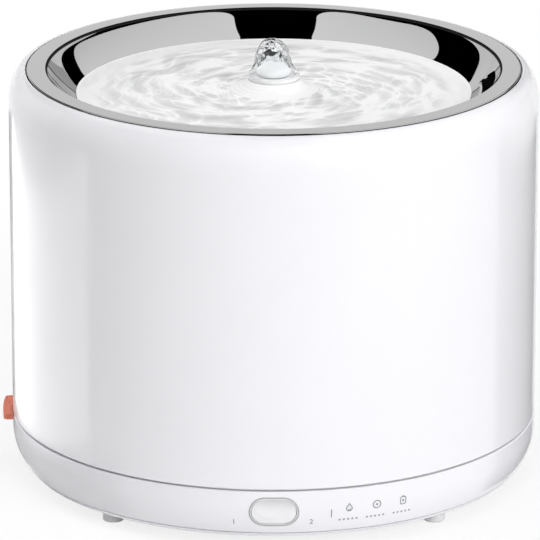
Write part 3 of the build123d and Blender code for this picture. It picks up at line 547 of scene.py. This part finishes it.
def water_material(name, whitest=0.98):
    """Clear water, whitened by the mesh's own attribute, bubbles."""
    material = bpy.data.materials.new(name)
    tree = empty_tree(material)
    bubbles = add(tree, "ShaderNodeAttribute", attribute_name="bubbles")
    place = add(tree, "ShaderNodeTexCoord")
    path = add(tree, "ShaderNodeLightPath")
    glass = add(tree, "ShaderNodeBsdfPrincipled", {"Base Color": (0.97, 0.99, 1.0, 1), "Roughness": 0.02,
                                                   "IOR": water_bend, "Transmission Weight": 1.0})
    lit = add(tree, "ShaderNodeMixShader", {"Fac": path.outputs["Is Shadow Ray"], 1: glass,
                                            2: add(tree, "ShaderNodeBsdfTransparent")})
    speckle = add(tree, "ShaderNodeTexNoise", {"Vector": place.outputs["Object"], "Scale": 900.0})
    tone = add(tree, "ShaderNodeMix", {"Factor": speckle.outputs["Fac"], "A": (0.93, 0.935, 0.935, 1),
                                       "B": bubble_white}, data_type="RGBA")
    bump = add(tree, "ShaderNodeBump", {"Height": speckle.outputs["Fac"], "Distance": 0.04 * MM})
    milk = add(tree, "ShaderNodeBsdfPrincipled", {"Base Color": tone.outputs["Result"], "Roughness": 0.12,
                                                  "IOR": water_bend, "Normal": bump})
    lather = add(tree, "ShaderNodeBsdfPrincipled", {"Base Color": bubble_white, "Roughness": 0.7,
                                                    "Specular IOR Level": 0.0})
    thick = add(tree, "ShaderNodeMapRange", {"Value": bubbles.outputs["Fac"], "From Min": lather_start,
                                             "From Max": lather_full})
    pale = add(tree, "ShaderNodeMixShader", {"Fac": thick, 1: milk, 2: lather})
    share = add(tree, "ShaderNodeMapRange", {"Value": bubbles.outputs["Fac"], "To Max": whitest})
    mix = add(tree, "ShaderNodeMixShader", {"Fac": share, 1: lit, 2: pale})
    add(tree, "ShaderNodeOutputMaterial", {"Surface": mix})
    print(name, "with", len(tree.nodes), "nodes")
    return material


pool_water = water_material("pool_water")
spring_water = water_material("spring_water")

# %% [markdown]
# ## Turned pieces with Geometry Nodes
# Tray, foam and cotton are all turned forms: one outline swept round the axis. Blender could spin them, or
# give them a Screw modifier, but a small node tree keeps the outline and the number of segments apart, so
# each can be changed later. Two helpers come first, for what this tree and the grain tree further down
# share: a group with named inputs, and its end, where instances are made real and get their material.

# %% Geometry tree helpers
def geometry_tree(name, sockets):
    """Geometry node group with named inputs; returns it with the inputs' identifiers."""
    tree = bpy.data.node_groups.new(name, "GeometryNodeTree")
    tree.interface.new_socket("Geometry", in_out="OUTPUT", socket_type="NodeSocketGeometry")
    tree.interface.new_socket("Geometry", in_out="INPUT", socket_type="NodeSocketGeometry")
    keys = {}
    for label, kind, value in sockets:
        socket = tree.interface.new_socket(label, in_out="INPUT", socket_type=kind)
        if value is not None:
            socket.default_value = value
        keys[label] = socket.identifier
    return tree, keys


def paint_and_give(tree, source, geometry):
    """End of both trees: real geometry instead of instances, its material, and out."""
    real = add(tree, "GeometryNodeRealizeInstances", {"Geometry": geometry})
    painted = add(tree, "GeometryNodeSetMaterial", {"Geometry": real, "Material": source.outputs["Material"]})
    add(tree, "NodeGroupOutput", {0: painted})
    print(tree.name, "tree:", len(tree.nodes), "nodes")


# %% [markdown]
# The tree lays out a grid, one column for each step round the axis, and puts each grid point where the
# outline's matching point comes to lie. Points that then fall together, at the seam and on the axis, merge.

# %% Turning tree
merge_distance = 0.002 * MM
turning, turning_keys = geometry_tree("turning", [("Segments", "NodeSocketInt", 256),
                                                  ("Material", "NodeSocketMaterial", None)])
source = add(turning, "NodeGroupInput")
size = add(turning, "GeometryNodeAttributeDomainSize", {0: source.outputs["Geometry"]})
rows = maths(turning, "ADD", size.outputs["Point Count"], 1)
columns = maths(turning, "ADD", source.outputs["Segments"], 1)
grid = add(turning, "GeometryNodeMeshGrid", {"Vertices X": columns, "Vertices Y": rows})
index = add(turning, "GeometryNodeInputIndex")
column = maths(turning, "FLOOR", maths(turning, "DIVIDE", index, rows))
row = maths(turning, "FLOORED_MODULO", index, rows)
point = maths(turning, "FLOORED_MODULO", row, size.outputs["Point Count"])
sample = add(turning, "GeometryNodeSampleIndex",
             {"Geometry": source.outputs["Geometry"], "Value": add(turning, "GeometryNodeInputPosition"),
              "Index": point}, data_type="FLOAT_VECTOR")
share = maths(turning, "DIVIDE", column, source.outputs["Segments"])
angle = maths(turning, "MULTIPLY", share, 2 * math.pi)
swing = add(turning, "ShaderNodeVectorRotate", {"Vector": sample, "Angle": angle}, rotation_type="Z_AXIS")
placed = add(turning, "GeometryNodeSetPosition", {"Geometry": grid.outputs["Mesh"], "Position": swing})
merged = add(turning, "GeometryNodeMergeByDistance", {"Geometry": placed, "Distance": merge_distance})
paint_and_give(turning, source, add(turning, "GeometryNodeSetShadeSmooth", {"Geometry": merged}))

# %% [markdown]
# The outline goes in as a loop of points beside the axis. The tree's result is turned into a plain mesh, its
# normals are made to point outwards and edges over 30 degrees stay sharp.

# %% Turn a piece
def settle(obj):
    """Replace an object's modifiers by their result."""
    evaluated = obj.evaluated_get(bpy.context.evaluated_depsgraph_get())
    mesh = bpy.data.meshes.new_from_object(evaluated)
    obj.modifiers.clear()
    old = obj.data
    obj.data = mesh
    bpy.data.meshes.remove(old)
    mesh.name = obj.name


def face_out(obj, sharp=30):
    """Merge doubles, point the faces outwards and keep real edges sharp."""
    shape = bmesh.new()
    shape.from_mesh(obj.data)
    bmesh.ops.remove_doubles(shape, verts=shape.verts, dist=merge_distance)
    bmesh.ops.recalc_face_normals(shape, faces=shape.faces)
    shape.to_mesh(obj.data)
    shape.free()
    obj.data.shade_smooth()
    obj.data.set_sharp_from_angle(angle=math.radians(sharp))
    print(obj.name, len(obj.data.polygons), "faces")


def turned_piece(name, outline, segments, material, cutter=None):
    """Turned form from an outline of (radius, height) in millimetres."""
    mesh = bpy.data.meshes.new(name)
    points = [(radius * MM, 0, height * MM) for radius, height in outline]
    count = len(points)
    mesh.from_pydata(points, [(i, (i + 1) % count) for i in range(count)], [])
    obj = link(name, mesh)
    modifier = obj.modifiers.new("turning", "NODES")
    modifier.node_group = turning
    modifier[turning_keys["Segments"]] = segments
    modifier[turning_keys["Material"]] = material
    if cutter:
        slot = obj.modifiers.new("cut", "BOOLEAN")
        slot.object = cutter
        slot.solver = "EXACT"
    settle(obj)
    face_out(obj)
    return obj


# %% [markdown]
# ## Drinking tray
# The real tray is one sheet of stainless steel, drawn to a bowl, with a flat rim band whose edge turns down
# over the tank. A mirror shows every flaw in its surface, so the outline gets a point every half millimetre
# of the wall's arc. Its heights count from the floor that the fountain stands on.

# %% Tray outline
sheet = 0.5
bowl_floor = 137.0
bowl_under = 136.0
flat_radius = 56.0
wall_reach = 31.785
wall_middle = 168.785
spout_hole = 9.3
fold_low = 149.52
fold_radius = flat_radius + math.sqrt(wall_reach**2 - (wall_middle - fold_low) ** 2)


def wall_arc(low, high, thickness, count):
    """Points along the bowl wall's arc, evenly spaced by angle, from low to high."""
    reach = wall_reach + thickness
    first = math.acos(min(1.0, (wall_middle - low) / reach))
    last = math.acos((wall_middle - high) / reach)
    angles = [first + (last - first) * i / count for i in range(count + 1)]
    return [(flat_radius + reach * math.sin(a), wall_middle - reach * math.cos(a)) for a in angles]


tray_outline = [(spout_hole, bowl_floor), (30.0, bowl_floor), (50.0, bowl_floor)]
tray_outline += wall_arc(bowl_floor, fold_low, 0.0, 60)
tray_outline += [(fold_radius + 0.46, fold_low - 0.02), (fold_radius + 0.48, 149.98), (84.0, 149.93),
                 (86.5, 149.85), (87.85, 149.81), (88.12, 149.79), (88.30, 149.72), (88.42, 149.60),
                 (88.48, 149.45), (88.5, 149.25), (88.5, 148.0), (87.5, 148.0), (87.5, 148.8)]
tray_outline += list(reversed(wall_arc(bowl_under, 149.0, sheet, 30)))
tray_outline += [(spout_hole, bowl_under)]
print("tray outline", len(tray_outline), "points")

# %% [markdown]
# The overflow slot is punched through the wall on the right. A long round bar, pushed outwards from inside
# the bowl, is cut from the turned tray, which is the sure way to get a clean edge on a curved wall.

# %% Slot cutter
slot_width = 28.6
slot_height = 4.8
slot_level = 144.8
slot_turn = math.radians(-6.5)
bar_start, bar_length = 60, 40
round_steps = 12
half_round = slot_height / 2
bar = bmesh.new()
loop = []
for side in (1, -1):
    for step in range(round_steps + 1):
        bend = math.pi * step / round_steps
        across = side * (slot_width / 2 - half_round + half_round * math.sin(bend))
        up = slot_level + side * half_round * math.cos(bend)
        loop.append(bar.verts.new((bar_start * MM, across * MM, up * MM)))
pushed = bmesh.ops.extrude_face_region(bar, geom=[bar.faces.new(loop)])
moved = [v for v in pushed["geom"] if isinstance(v, bmesh.types.BMVert)]
bmesh.ops.translate(bar, verts=moved, vec=(bar_length * MM, 0, 0))
bmesh.ops.rotate(bar, verts=bar.verts, cent=(0, 0, 0), matrix=Matrix.Rotation(slot_turn, 3, "Z"))
bmesh.ops.recalc_face_normals(bar, faces=bar.faces)
cutter_mesh = bpy.data.meshes.new("slot_cutter")
bar.to_mesh(cutter_mesh)
bar.free()
cutter = link("slot_cutter", cutter_mesh)
print("slot", slot_width, "by", slot_height, "mm")

# %% [markdown]
# Where band and wall meet, the fold lies in shade, and so does the narrow gap under the band's outer edge.
# That shade is painted as a fine dark line on the faces that lie there.

# %% Drinking tray
tray = turned_piece("steel_tray", tray_outline, 320, polished_steel, cutter)
bpy.data.objects.remove(cutter)

# Painted shade: a near-black finish for the fold and for the gap under the band's edge.
fold_gap_shade = finish("fold_gap_shade", (0.012, 0.012, 0.012), 0.6, drift=0.2, specular=0.05)
fold_from, fold_to = fold_radius - 0.24, fold_radius + 0.50
band_level = 149.2
edge_radius = 88.40
tray.data.materials.clear()
tray.data.materials.append(polished_steel)
tray.data.materials.append(fold_gap_shade)
for face in tray.data.polygons:
    radius = face.center.to_2d().length / MM
    in_fold_shade = fold_from < radius < fold_to and face.center.z > band_level * MM
    face.material_index = 1 if in_fold_shade or radius > edge_radius else 0
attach(tray, "tray")
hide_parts("drinking_tray")

# %% [markdown]
# ## Water in the tray
# The pump's water spreads from the middle and swirls slowly towards the slot. The ripples are real geometry,
# and their height comes from a few layers of noise. The noise is read on a cylinder, long round the axis and
# short across it, so the ripples become arcs. A layer is given by the width of a feature across, in
# millimetres, and by how many there are round the axis, roughly.

# %% Noise for water
wide_layer = (6.5, 2.2)
fine_layer = (3.0, 4.5)
finest_layer = (1.4, 8.0)
drift_layer = (5.0, 3.0)


def smooth_step(low, high, value):
    """Smooth step from 0 at low to 1 at high."""
    share = min(1.0, max(0.0, (value - low) / (high - low)))
    return share * share * (3 - 2 * share)


def swirl_noise(radius, turn, across, around, shift):
    """Noise whose features are long round the axis and short across it."""
    bent = turn + 0.9 * math.log(radius / 12.0)
    slow = radius * 0.05
    wander = 1.4 * noise.noise(Vector((slow * math.cos(turn), slow * math.sin(turn), shift)))
    return noise.noise(Vector((around * math.cos(bent) + shift, around * math.sin(bent) - shift,
                               radius / across + wander)))


def ridge(value, sharp=5.0):
    """1 where a noise crosses zero and 0 away from there, which draws thin lines."""
    return max(0.0, 1 - sharp * abs(value)) ** 1.5


print("noise at 40 mm:", round(swirl_noise(40, 0, *wide_layer, 0), 3))

# %% [markdown]
# Near the spring fine rings run outwards, and near the edge the water lies calm. Other layers of the same
# noise give the share of bubbles, which is kept as an attribute: where it is high, they whiten the water.

# %% Ripples and bubbles
calm_from, calm_to = 54, 66
still_from, still_to = 56, 66


def ripple(radius, turn):
    """Height of the ripples in millimetres."""
    calm = 1 - 0.80 * smooth_step(calm_from, calm_to, radius)
    wide = swirl_noise(radius, turn, *wide_layer, 3.1)
    fine = swirl_noise(radius, turn, *fine_layer, 7.7)
    finest = swirl_noise(radius, turn, *finest_layer, 1.9)
    crest = 0.22 * wide + 0.26 * (0.35 - abs(fine)) + 0.10 * (0.35 - abs(finest))
    rings = 0.06 * math.sin((radius - 12) * 4.2 + 1.5 * wide) * math.exp(-max(0.0, radius - 15) / 6.0)
    return calm * smooth_step(13.5, 20, radius) * crest + rings


def whiten(radius, turn):
    """Share of bubbles: busy water shows drifts and thin arcs of them, and calm water is evenly white."""
    broad = ridge(swirl_noise(radius, turn, *wide_layer, 11.0))
    arcs = broad + 0.6 * ridge(swirl_noise(radius, turn, *fine_layer, 5.0))
    drift = 0.34 * swirl_noise(radius, turn, *drift_layer, 17.0)
    busy = 1 - 0.85 * smooth_step(still_from, still_to, radius)
    return min(1.0, max(0.0, 1.0 - 0.18 * busy + busy * (drift + 0.20 * arcs)))


print("ripple at 40 mm:", round(ripple(40, 0), 3), "mm, bubbles", round(whiten(40, 0), 2))

# %% [markdown]
# The surface is a disc of rings that swells up to the spring's foot in the middle and climbs the steel a
# little at the edge, as water does. More rings lead back underneath, close to the bowl, and close the body.

# %% Points of the water
water_edge = 70.83
water_foot = 13.3
water_floor = 137.15
calm_drop = 0.12
mound, mound_from, mound_to = 0.9, 14, 26
climb, climb_from, climb_to = 0.10, 69.6, 70.6
flat_edge = water_edge - 0.1
# Radius past which the water's edge is painted white as a highlight.
edge_highlight_from = 69.9
ring_count = 150
turn_count = 400


def on_ring(radius, turn, height):
    """Point at a radius, turn and height in millimetres, in metres."""
    return radius * math.cos(turn) * MM, radius * math.sin(turn) * MM, height * MM


turns = [2 * math.pi * step / turn_count for step in range(turn_count)]
rings = [water_foot + (water_edge - water_foot) * i / ring_count for i in range(ring_count + 1)]
below = wall_arc(137.16, water_level, -0.15, 8)[::-1][1:] + [(40.0, water_floor), (water_foot, water_floor)]
vertices = []
bubbles = []
for radius in rings:
    swell = mound * (1 - smooth_step(mound_from, mound_to, radius))
    swell += climb * smooth_step(climb_from, climb_to, radius)
    for turn in turns:
        wave = ripple(radius, turn) if radius < flat_edge else 0
        vertices.append(on_ring(radius, turn, water_level - calm_drop + swell + wave))
        # Past the outermost radius the water is fully white: a painted highlight along the edge where it
        # climbs the steel.
        bubbles.append(1.0 if radius > edge_highlight_from else whiten(radius, turn))
for radius, height in below:
    vertices += [on_ring(radius, turn, height) for turn in turns]
    bubbles += [0.5] * turn_count
print("water points", len(vertices))

# %% [markdown]
# Each ring is joined to the next by four-sided faces, and the last one to the first. The bubbles go with the
# mesh as an attribute, where the water's finish finds them.

# %% Water in the tray
faces = []
row_count = len(rings) + len(below)
for row_number in range(row_count):
    here = row_number * turn_count
    after = ((row_number + 1) % row_count) * turn_count
    for step in range(turn_count):
        following = (step + 1) % turn_count
        faces.append((here + step, after + step, after + following, here + following))
pool_mesh = bpy.data.meshes.new("rippled_water")
pool_mesh.from_pydata(vertices, [], faces)
whiteness = pool_mesh.attributes.new("bubbles", "FLOAT", "POINT")
whiteness.data.foreach_set("value", bubbles)
pool_mesh.materials.append(pool_water)
pool = link("rippled_water", pool_mesh)
face_out(pool, 50)
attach(pool, "tray")
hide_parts("water_pool")

# %% [markdown]
# ## Spring
# The spring is a bell of water over the spout, with air inside and white, bubbling water welling up in its
# middle. At its foot the water piles up to a white mound. Bell and well are turned like the tray; here are
# their outlines, from a few points each.

# %% Spring outlines
def finer(points, times=2):
    """Open outline with its corners cut; its ends stay."""
    for _ in range(times):
        inner = [point for side in zip(points, points[1:]) for point in cut(*side)]
        points = [points[0]] + inner + [points[-1]]
    return points


def dome(reach, rise, low, count=16):
    """Half ellipse from the crown down to its foot."""
    bends = [math.pi / 2 * i / count for i in range(count + 1)]
    return [(reach * math.sin(bend), low + rise * math.cos(bend)) for bend in bends]


spring_side = [(17.0, 141.04), (17.0, 141.2), (15.5, 141.75), (13.6, 142.3), (12.0, 143.0), (10.6, 143.9),
               (9.6, 144.8), (9.05, 145.4), (9.25, 146.1), (9.15, 147.0), (8.7, 148.0), (7.8, 149.2),
               (6.9, 150.5), (6.3, 152.1), (5.95, 154.0), (5.5, 155.8), (4.9, 157.4), (4.0, 158.6),
               (2.9, 159.4), (1.4, 159.9), (0.5, 159.98), (0.0, 160.0)]
hollow_side = [(0.0, 157.7), (1.5, 157.55), (2.8, 156.9), (3.7, 155.9), (4.4, 154.4), (4.9, 152.8),
               (5.6, 151.0), (6.6, 149.4), (7.5, 148.2), (7.9, 147.2), (8.0, 146.35)]
bell_outline = finer(spring_side) + finer(hollow_side) + [(8.5, 146.3), (8.9, 143.5), (9.6, 141.04)]
well_outline = dome(6.2, 3.9, 147.6) + [(6.1, 147.1), (5.7, 146.6), (0.0, 146.4)]
print("bell outline", len(bell_outline), "points")

# %% [markdown]
# Running water is never round. Where the bell hangs free, a slow noise makes its waist and crown wobble, and
# fine rings run down the mound at its foot. The whole bell leans a little to the left with height.

# %% Spring
crown_wave = 0.55 * MM
foot_wave = 0.10 * MM
lean = 0.5 * MM
spring = turned_piece("spring", bell_outline, 128, spring_water)
for vertex in spring.data.vertices:
    x, y, z = (c / MM for c in vertex.co)
    turn = math.atan2(y, x)
    reach = math.hypot(x, y)
    free = smooth_step(148.0, 152.5, z) * (1 - smooth_step(157.0, 159.8, z))
    lobes = noise.noise(Vector((1.6 * math.cos(turn), 1.6 * math.sin(turn), z * 0.30)))
    threads = noise.noise(Vector((3.4 * math.cos(turn) + 7, 3.4 * math.sin(turn), z * 0.7)))
    grow = 1 + free * (0.11 * lobes + 0.05 * threads)
    if reach < 4.5 and 153 < z < 158:
        vertex.co.z += crown_wave * noise.noise(Vector((x * 0.55 + 3, y * 0.55, 1.7)))
    if z < 145.0 and reach > 9.8:
        fade = smooth_step(9.8, 11.0, reach) * (1 - smooth_step(14.5, 16.9, reach))
        vertex.co.z += foot_wave * fade * math.sin(4.2 * reach + 1.5 * lobes)
    vertex.co.x *= grow
    vertex.co.y *= grow
    vertex.co.x -= lean * smooth_step(146.0, 158.0, z)
well = turned_piece("well", well_outline, 64, spring_water)
well_count = len(well.data.vertices)
both = bmesh.new()
both.from_mesh(spring.data)
both.from_mesh(well.data)
both.to_mesh(spring.data)
both.free()
bpy.data.objects.remove(well)

# %% [markdown]
# Bell and well are one mesh now, the well's points last. The well is all bubbles, the mound nearly so, and
# the bell above it is clear. At the bell's narrow waist a thin ring is given fewer bubbles, so it renders
# darker: painted shade for the crease at the waist.

# %% Bubbles of the spring
waist_level = 145.4
milky = spring.data.attributes.new("bubbles", "FLOAT", "POINT")
for number, entry in enumerate(milky.data):
    height = spring.data.vertices[number].co.z / MM
    in_well = number >= len(milky.data) - well_count
    # A thin ring at the waist gets fewer bubbles and renders darker: painted shade for the crease.
    waist_shade = 0.7 * (1 - smooth_step(0.0, 0.35, abs(height - waist_level)))
    entry.value = 1.0 if in_well else (1 - smooth_step(146.2, 147.6, height)) * (0.95 - waist_shade)
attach(spring, "tray")
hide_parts("water_jet")
print("spring", len(spring.data.vertices), "points,", well_count, "of them in the well")

# %% [markdown]
# ## Foam sleeve and cotton pad
# The pre-filter is a tube of open foam, and one layer of the filter is a ring of cotton. Both are soft, so no
# edge of them is sharp and their skin is a little uneven; the pores and fibres are in the finish. Their
# outlines have rounded corners, and a slow noise presses the skin inwards. Cloth simulation would only show
# more than this if something pulled at them.

# %% Pad helpers
corner_steps = 6
skin_step = 1.6


def pad_outline(inner_radius, outer_radius, low, high, corner):
    """Ring outline with rounded corners and subdivided sides, in millimetres."""
    outline = []
    arcs = ((outer_radius - corner, high - corner, 0), (inner_radius + corner, high - corner, 1),
            (inner_radius + corner, low + corner, 2), (outer_radius - corner, low + corner, 3))
    for middle_r, middle_z, quarter in arcs:
        for step in range(corner_steps + 1):
            bend = math.pi / 2 * (quarter + step / corner_steps)
            outline.append((middle_r + corner * math.cos(bend), middle_z + corner * math.sin(bend)))
    filled = []
    for here, after in zip(outline, outline[1:] + outline[:1]):
        pieces = max(1, int(math.dist(here, after) / skin_step))
        filled += [(here[0] + (after[0] - here[0]) * i / pieces, here[1] + (after[1] - here[1]) * i / pieces)
                   for i in range(pieces)]
    return filled


def press_in(obj, depth, scale, middle_radius, middle_height):
    """Press the skin inwards by up to depth, towards the ring's own middle line."""
    for vertex in obj.data.vertices:
        flat = vertex.co.xy.normalized() * middle_radius * MM
        core = Vector((flat.x, flat.y, middle_height * MM))
        amount = depth * MM * (0.5 + 0.5 * noise.noise(vertex.co * scale))
        vertex.co += (core - vertex.co).normalized() * amount


print("skin step", skin_step, "mm")

# %% [markdown]
# The sleeve stands inside the pre-filter's cage, round the pump, so it rides on the pump and lifts out with
# it. Its box gives the height and the outer radius.

# %% Foam sleeve
foam_wall = 8.5
foam_low, foam_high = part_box("foam_sleeve")
foam_radius = foam_high.x / MM
foam_outline = pad_outline(foam_radius - foam_wall, foam_radius, foam_low.z / MM, foam_high.z / MM, 2.4)
sleeve = turned_piece("foam_tube", foam_outline, 160, foam)
press_in(sleeve, 0.45, 240.0, foam_radius - foam_wall / 2, (foam_low.z + foam_high.z) / 2 / MM)
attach(sleeve, "pump")
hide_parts("foam_sleeve")

# %% [markdown]
# The cotton lies at the bottom of the filter basket. Its hole leaves room for the basket's core, through
# which the pipe brings the water up.

# %% Cotton pad
filter_bore = 9.5
cotton_middle = 33.0
cotton_low, cotton_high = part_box("cotton_pad")
cotton_outline = pad_outline(filter_bore, cotton_high.y / MM, cotton_low.z / MM, cotton_high.z / MM, 3.0)
pad = turned_piece("cotton_ring", cotton_outline, 200, cotton)
press_in(pad, 0.6, 300.0, cotton_middle, (cotton_low.z + cotton_high.z) / 2 / MM)
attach(pad, "filter")
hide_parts("cotton_pad")

# %% [markdown]
# ## Resin beads and carbon grains
# Both beds are thousands of small grains. Modelling them one by one is hopeless, and a bumpy surface shows no
# single grain at its edge, so Geometry Nodes scatter one small grain over the skin of a plain core. The
# beads are round and even; the carbon is broken, so its grains vary in size and turn.

# %% Grain tree
densest = 1e7
full_turn = (6.28, 6.28, 6.28)
scatter, scatter_keys = geometry_tree("grains", [("Spacing", "NodeSocketFloat", 1.0),
                                                 ("Grain", "NodeSocketFloat", 1.0),
                                                 ("Smallest", "NodeSocketFloat", 0.8),
                                                 ("Seed", "NodeSocketInt", 1),
                                                 ("Material", "NodeSocketMaterial", None)])
source = add(scatter, "NodeGroupInput")
spread = add(scatter, "GeometryNodeDistributePointsOnFaces",
             {"Mesh": source.outputs["Geometry"], "Distance Min": source.outputs["Spacing"],
              "Density Max": densest, "Seed": source.outputs["Seed"]}, distribute_method="POISSON")
grain = add(scatter, "GeometryNodeMeshIcoSphere", {"Radius": source.outputs["Grain"], "Subdivisions": 1})
tumble = add(scatter, "FunctionNodeRandomValue", {"Max": full_turn, "Seed": source.outputs["Seed"]},
             data_type="FLOAT_VECTOR")
grow = add(scatter, "FunctionNodeRandomValue",
           {"Min": source.outputs["Smallest"], "Seed": source.outputs["Seed"]}, data_type="FLOAT")
grains = add(scatter, "GeometryNodeInstanceOnPoints",
             {"Points": spread.outputs["Points"], "Instance": grain.outputs["Mesh"],
              "Rotation": tumble.outputs["Value"], "Scale": grow.outputs["Value"]})
real_grains = add(scatter, "GeometryNodeRealizeInstances", {"Geometry": grains})
join = add(scatter, "GeometryNodeJoinGeometry")
for part in (source.outputs["Geometry"], real_grains.outputs[0]):
    scatter.links.new(part, join.inputs[0])
paint_and_give(scatter, source, join)

# %% [markdown]
# Each bed is a plain turned core, smaller than its space by one grain, that goes through the tree with its
# own seed and sizes.

# %% Beds
def grain_bed(name, node, material, grain_size, smallest, seed, spacing=1.7 * MM):
    """Bed of grains in the space of a node."""
    low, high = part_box(node)
    inset = grain_size / MM
    outline = pad_outline(filter_bore + inset, high.y / MM - inset, low.z / MM + inset, high.z / MM - inset,
                          0.3)
    bed = turned_piece(name, outline, 120, material)
    modifier = bed.modifiers.new("grains", "NODES")
    modifier.node_group = scatter
    for label, value in (("Spacing", spacing), ("Grain", grain_size), ("Smallest", smallest), ("Seed", seed),
                         ("Material", material)):
        modifier[scatter_keys[label]] = value
    settle(bed)
    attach(bed, "filter")
    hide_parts(node)
    print(name, "with grains:", len(bed.data.polygons), "faces")


grain_bed("resin_beads", "resin_bed", resin, 0.9 * MM, smallest=0.9, seed=4)
grain_bed("carbon_grains", "carbon_bed", carbon, 1.0 * MM, smallest=0.6, seed=9)

# %% [markdown]
# ## Prints on the base
# Beside the button the base carries a plain 1 and 2 for its two modes, and a fine line that parts the button
# from the lights. They are pad-printed, so they lie on the wall and follow its curve: each is drawn flat and
# its points are then laid on the wall.

# %% Prints
print_ink = finish("print_ink", (0.22, 0.22, 0.23), 0.55, drift=0.08, grain_scale=2600.0)
ink_gap = 0.012
curve_middle = 75.6
curve_reach = 19.4
curve_top = 17.0


def wall_radius(height):
    """Radius of the base's wall at a height, in millimetres."""
    return curve_middle + math.sqrt(curve_reach**2 - max(0.0, curve_top - height) ** 2)


def lay_on_base(obj, azimuth, height):
    """Lay a flat drawing on the base's wall, a hair above it."""
    for vertex in obj.data.vertices:
        across, up, depth = (c / MM for c in vertex.co)
        level = height + up
        radius = wall_radius(level) + ink_gap + depth
        turn = math.radians(azimuth) + across / body_radius * MM
        vertex.co = (radius * math.sin(turn) * MM, -radius * math.cos(turn) * MM, level * MM)
    obj.data.materials.append(print_ink)
    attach(obj, "base")


def printed_number(name, text, azimuth, height=10.3, size=2.9):
    """Numeral in the plain built-in typeface."""
    curve = bpy.data.curves.new(name, "FONT")
    curve.body = text
    curve.size = size * MM
    curve.align_x = "CENTER"
    curve.align_y = "CENTER"
    curve.extrude = 0.01 * MM
    writer = link(name + "_curve", curve)
    bpy.context.view_layer.update()
    mesh = bpy.data.meshes.new_from_object(writer.evaluated_get(bpy.context.evaluated_depsgraph_get()))
    bpy.data.objects.remove(writer)
    lay_on_base(link(name, mesh), azimuth, height)
    print(name, "at azimuth", azimuth)


printed_number("mode_number_1", "1", -8.6)
printed_number("mode_number_2", "2", 8.0)

# %% [markdown]
# The line and the outlines of the three marks are strips of ink. A strip is given by the points of its middle
# line; at each point four corners are set out, and the strip is closed like a tube or capped at its ends.

# %% Strips of ink
ink_depth = 0.02


def ink_strip(name, points, width, azimuth, level, closed=True):
    """Strip of ink along points of (across, up) in millimetres, laid on the base."""
    count = len(points)
    corners = []
    for number, (across, up) in enumerate(points):
        before = points[number - 1] if closed or number else points[0]
        after = points[(number + 1) % count] if closed or number < count - 1 else points[-1]
        heading = Vector((after[0] - before[0], after[1] - before[1])).normalized()
        side = Vector((-heading.y, heading.x)) * width / 2
        for sign, depth in ((1, 0.0), (1, ink_depth), (-1, ink_depth), (-1, 0.0)):
            corners.append(((across + sign * side.x) * MM, (up + sign * side.y) * MM, depth * MM))
    faces = []
    for number in range(count if closed else count - 1):
        here, following = 4 * number, 4 * ((number + 1) % count)
        faces += [(here + i, here + (i + 1) % 4, following + (i + 1) % 4, following + i) for i in range(4)]
    if not closed:
        faces += [(3, 2, 1, 0), (4 * count - 4, 4 * count - 3, 4 * count - 2, 4 * count - 1)]
    mesh = bpy.data.meshes.new(name)
    mesh.from_pydata(corners, [], faces)
    obj = link(name, mesh)
    lay_on_base(obj, azimuth, level)
    face_out(obj)


def arc(middle, reach, first, last, count):
    """Points on an arc, angles in degrees."""
    bends = [math.radians(first + (last - first) * i / count) for i in range(count + 1)]
    return [(middle[0] + reach * math.cos(bend), middle[1] + reach * math.sin(bend)) for bend in bends]


line_height = 3.1
line_steps = 12
line = [(0, -line_height / 2 + line_height * i / line_steps) for i in range(line_steps + 1)]
ink_strip("print_line", line, width=0.36, azimuth=12.29, level=13.25, closed=False)

# %% [markdown]
# The three marks stand for water level, filter and battery: a drop, a ring with a dot, and a cell with a
# cap. Each is drawn round the middle of its light, which the frame gives.

# %% Marks
def mark(node, *strips):
    """Draw strips of (name, points, width, closed) round the middle of a light."""
    low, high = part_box(node)
    middle = (low + high) / 2
    azimuth = math.degrees(math.atan2(middle.x, -middle.y))
    for name, points, width, closed in strips:
        ink_strip(name, points, width, azimuth, middle.z / MM, closed)
    print(node, "at azimuth", round(azimuth, 1), "height", round(middle.z / MM, 2))


drop_middle = (0, -0.42)
drop_tip = 1.42
tip_steps = 6
drop = arc(drop_middle, 1.02, 33, -213, 24)
start, end = drop[0], drop[-1]
drop += [(end[0] * (1 - i / tip_steps), end[1] + (drop_tip - end[1]) * i / tip_steps)
         for i in range(1, tip_steps + 1)]
drop += [(start[0] * i / tip_steps, drop_tip + (start[1] - drop_tip) * i / tip_steps)
         for i in range(1, tip_steps)]
cell = (arc((0.55, 0.75), 0.5, 0, 90, 5) + arc((-0.55, 0.75), 0.5, 90, 180, 5)
        + arc((-0.55, -1.05), 0.5, 180, 270, 5) + arc((0.55, -1.05), 0.5, 270, 360, 5))
cap = [(-0.45 + 0.9 * i / 4, 1.45) for i in range(5)]
mark("drop_light", ("drop_outline", drop, 0.34, True),
     ("drop_shine", arc(drop_middle, 0.62, -130, -20, 8), 0.28, False))
mark("filter_light", ("filter_outline", arc((0, 0), 1.42, 0, 348.75, 31), 0.34, True),
     ("filter_dot", arc((0, 0), 0.24, 0, 330, 11), 0.36, True))
mark("battery_light", ("battery_outline", cell, 0.32, True), ("battery_cap", cap, 0.32, False),
     ("battery_dot", arc((0, -0.15), 0.22, 0, 330, 11), 0.34, True))
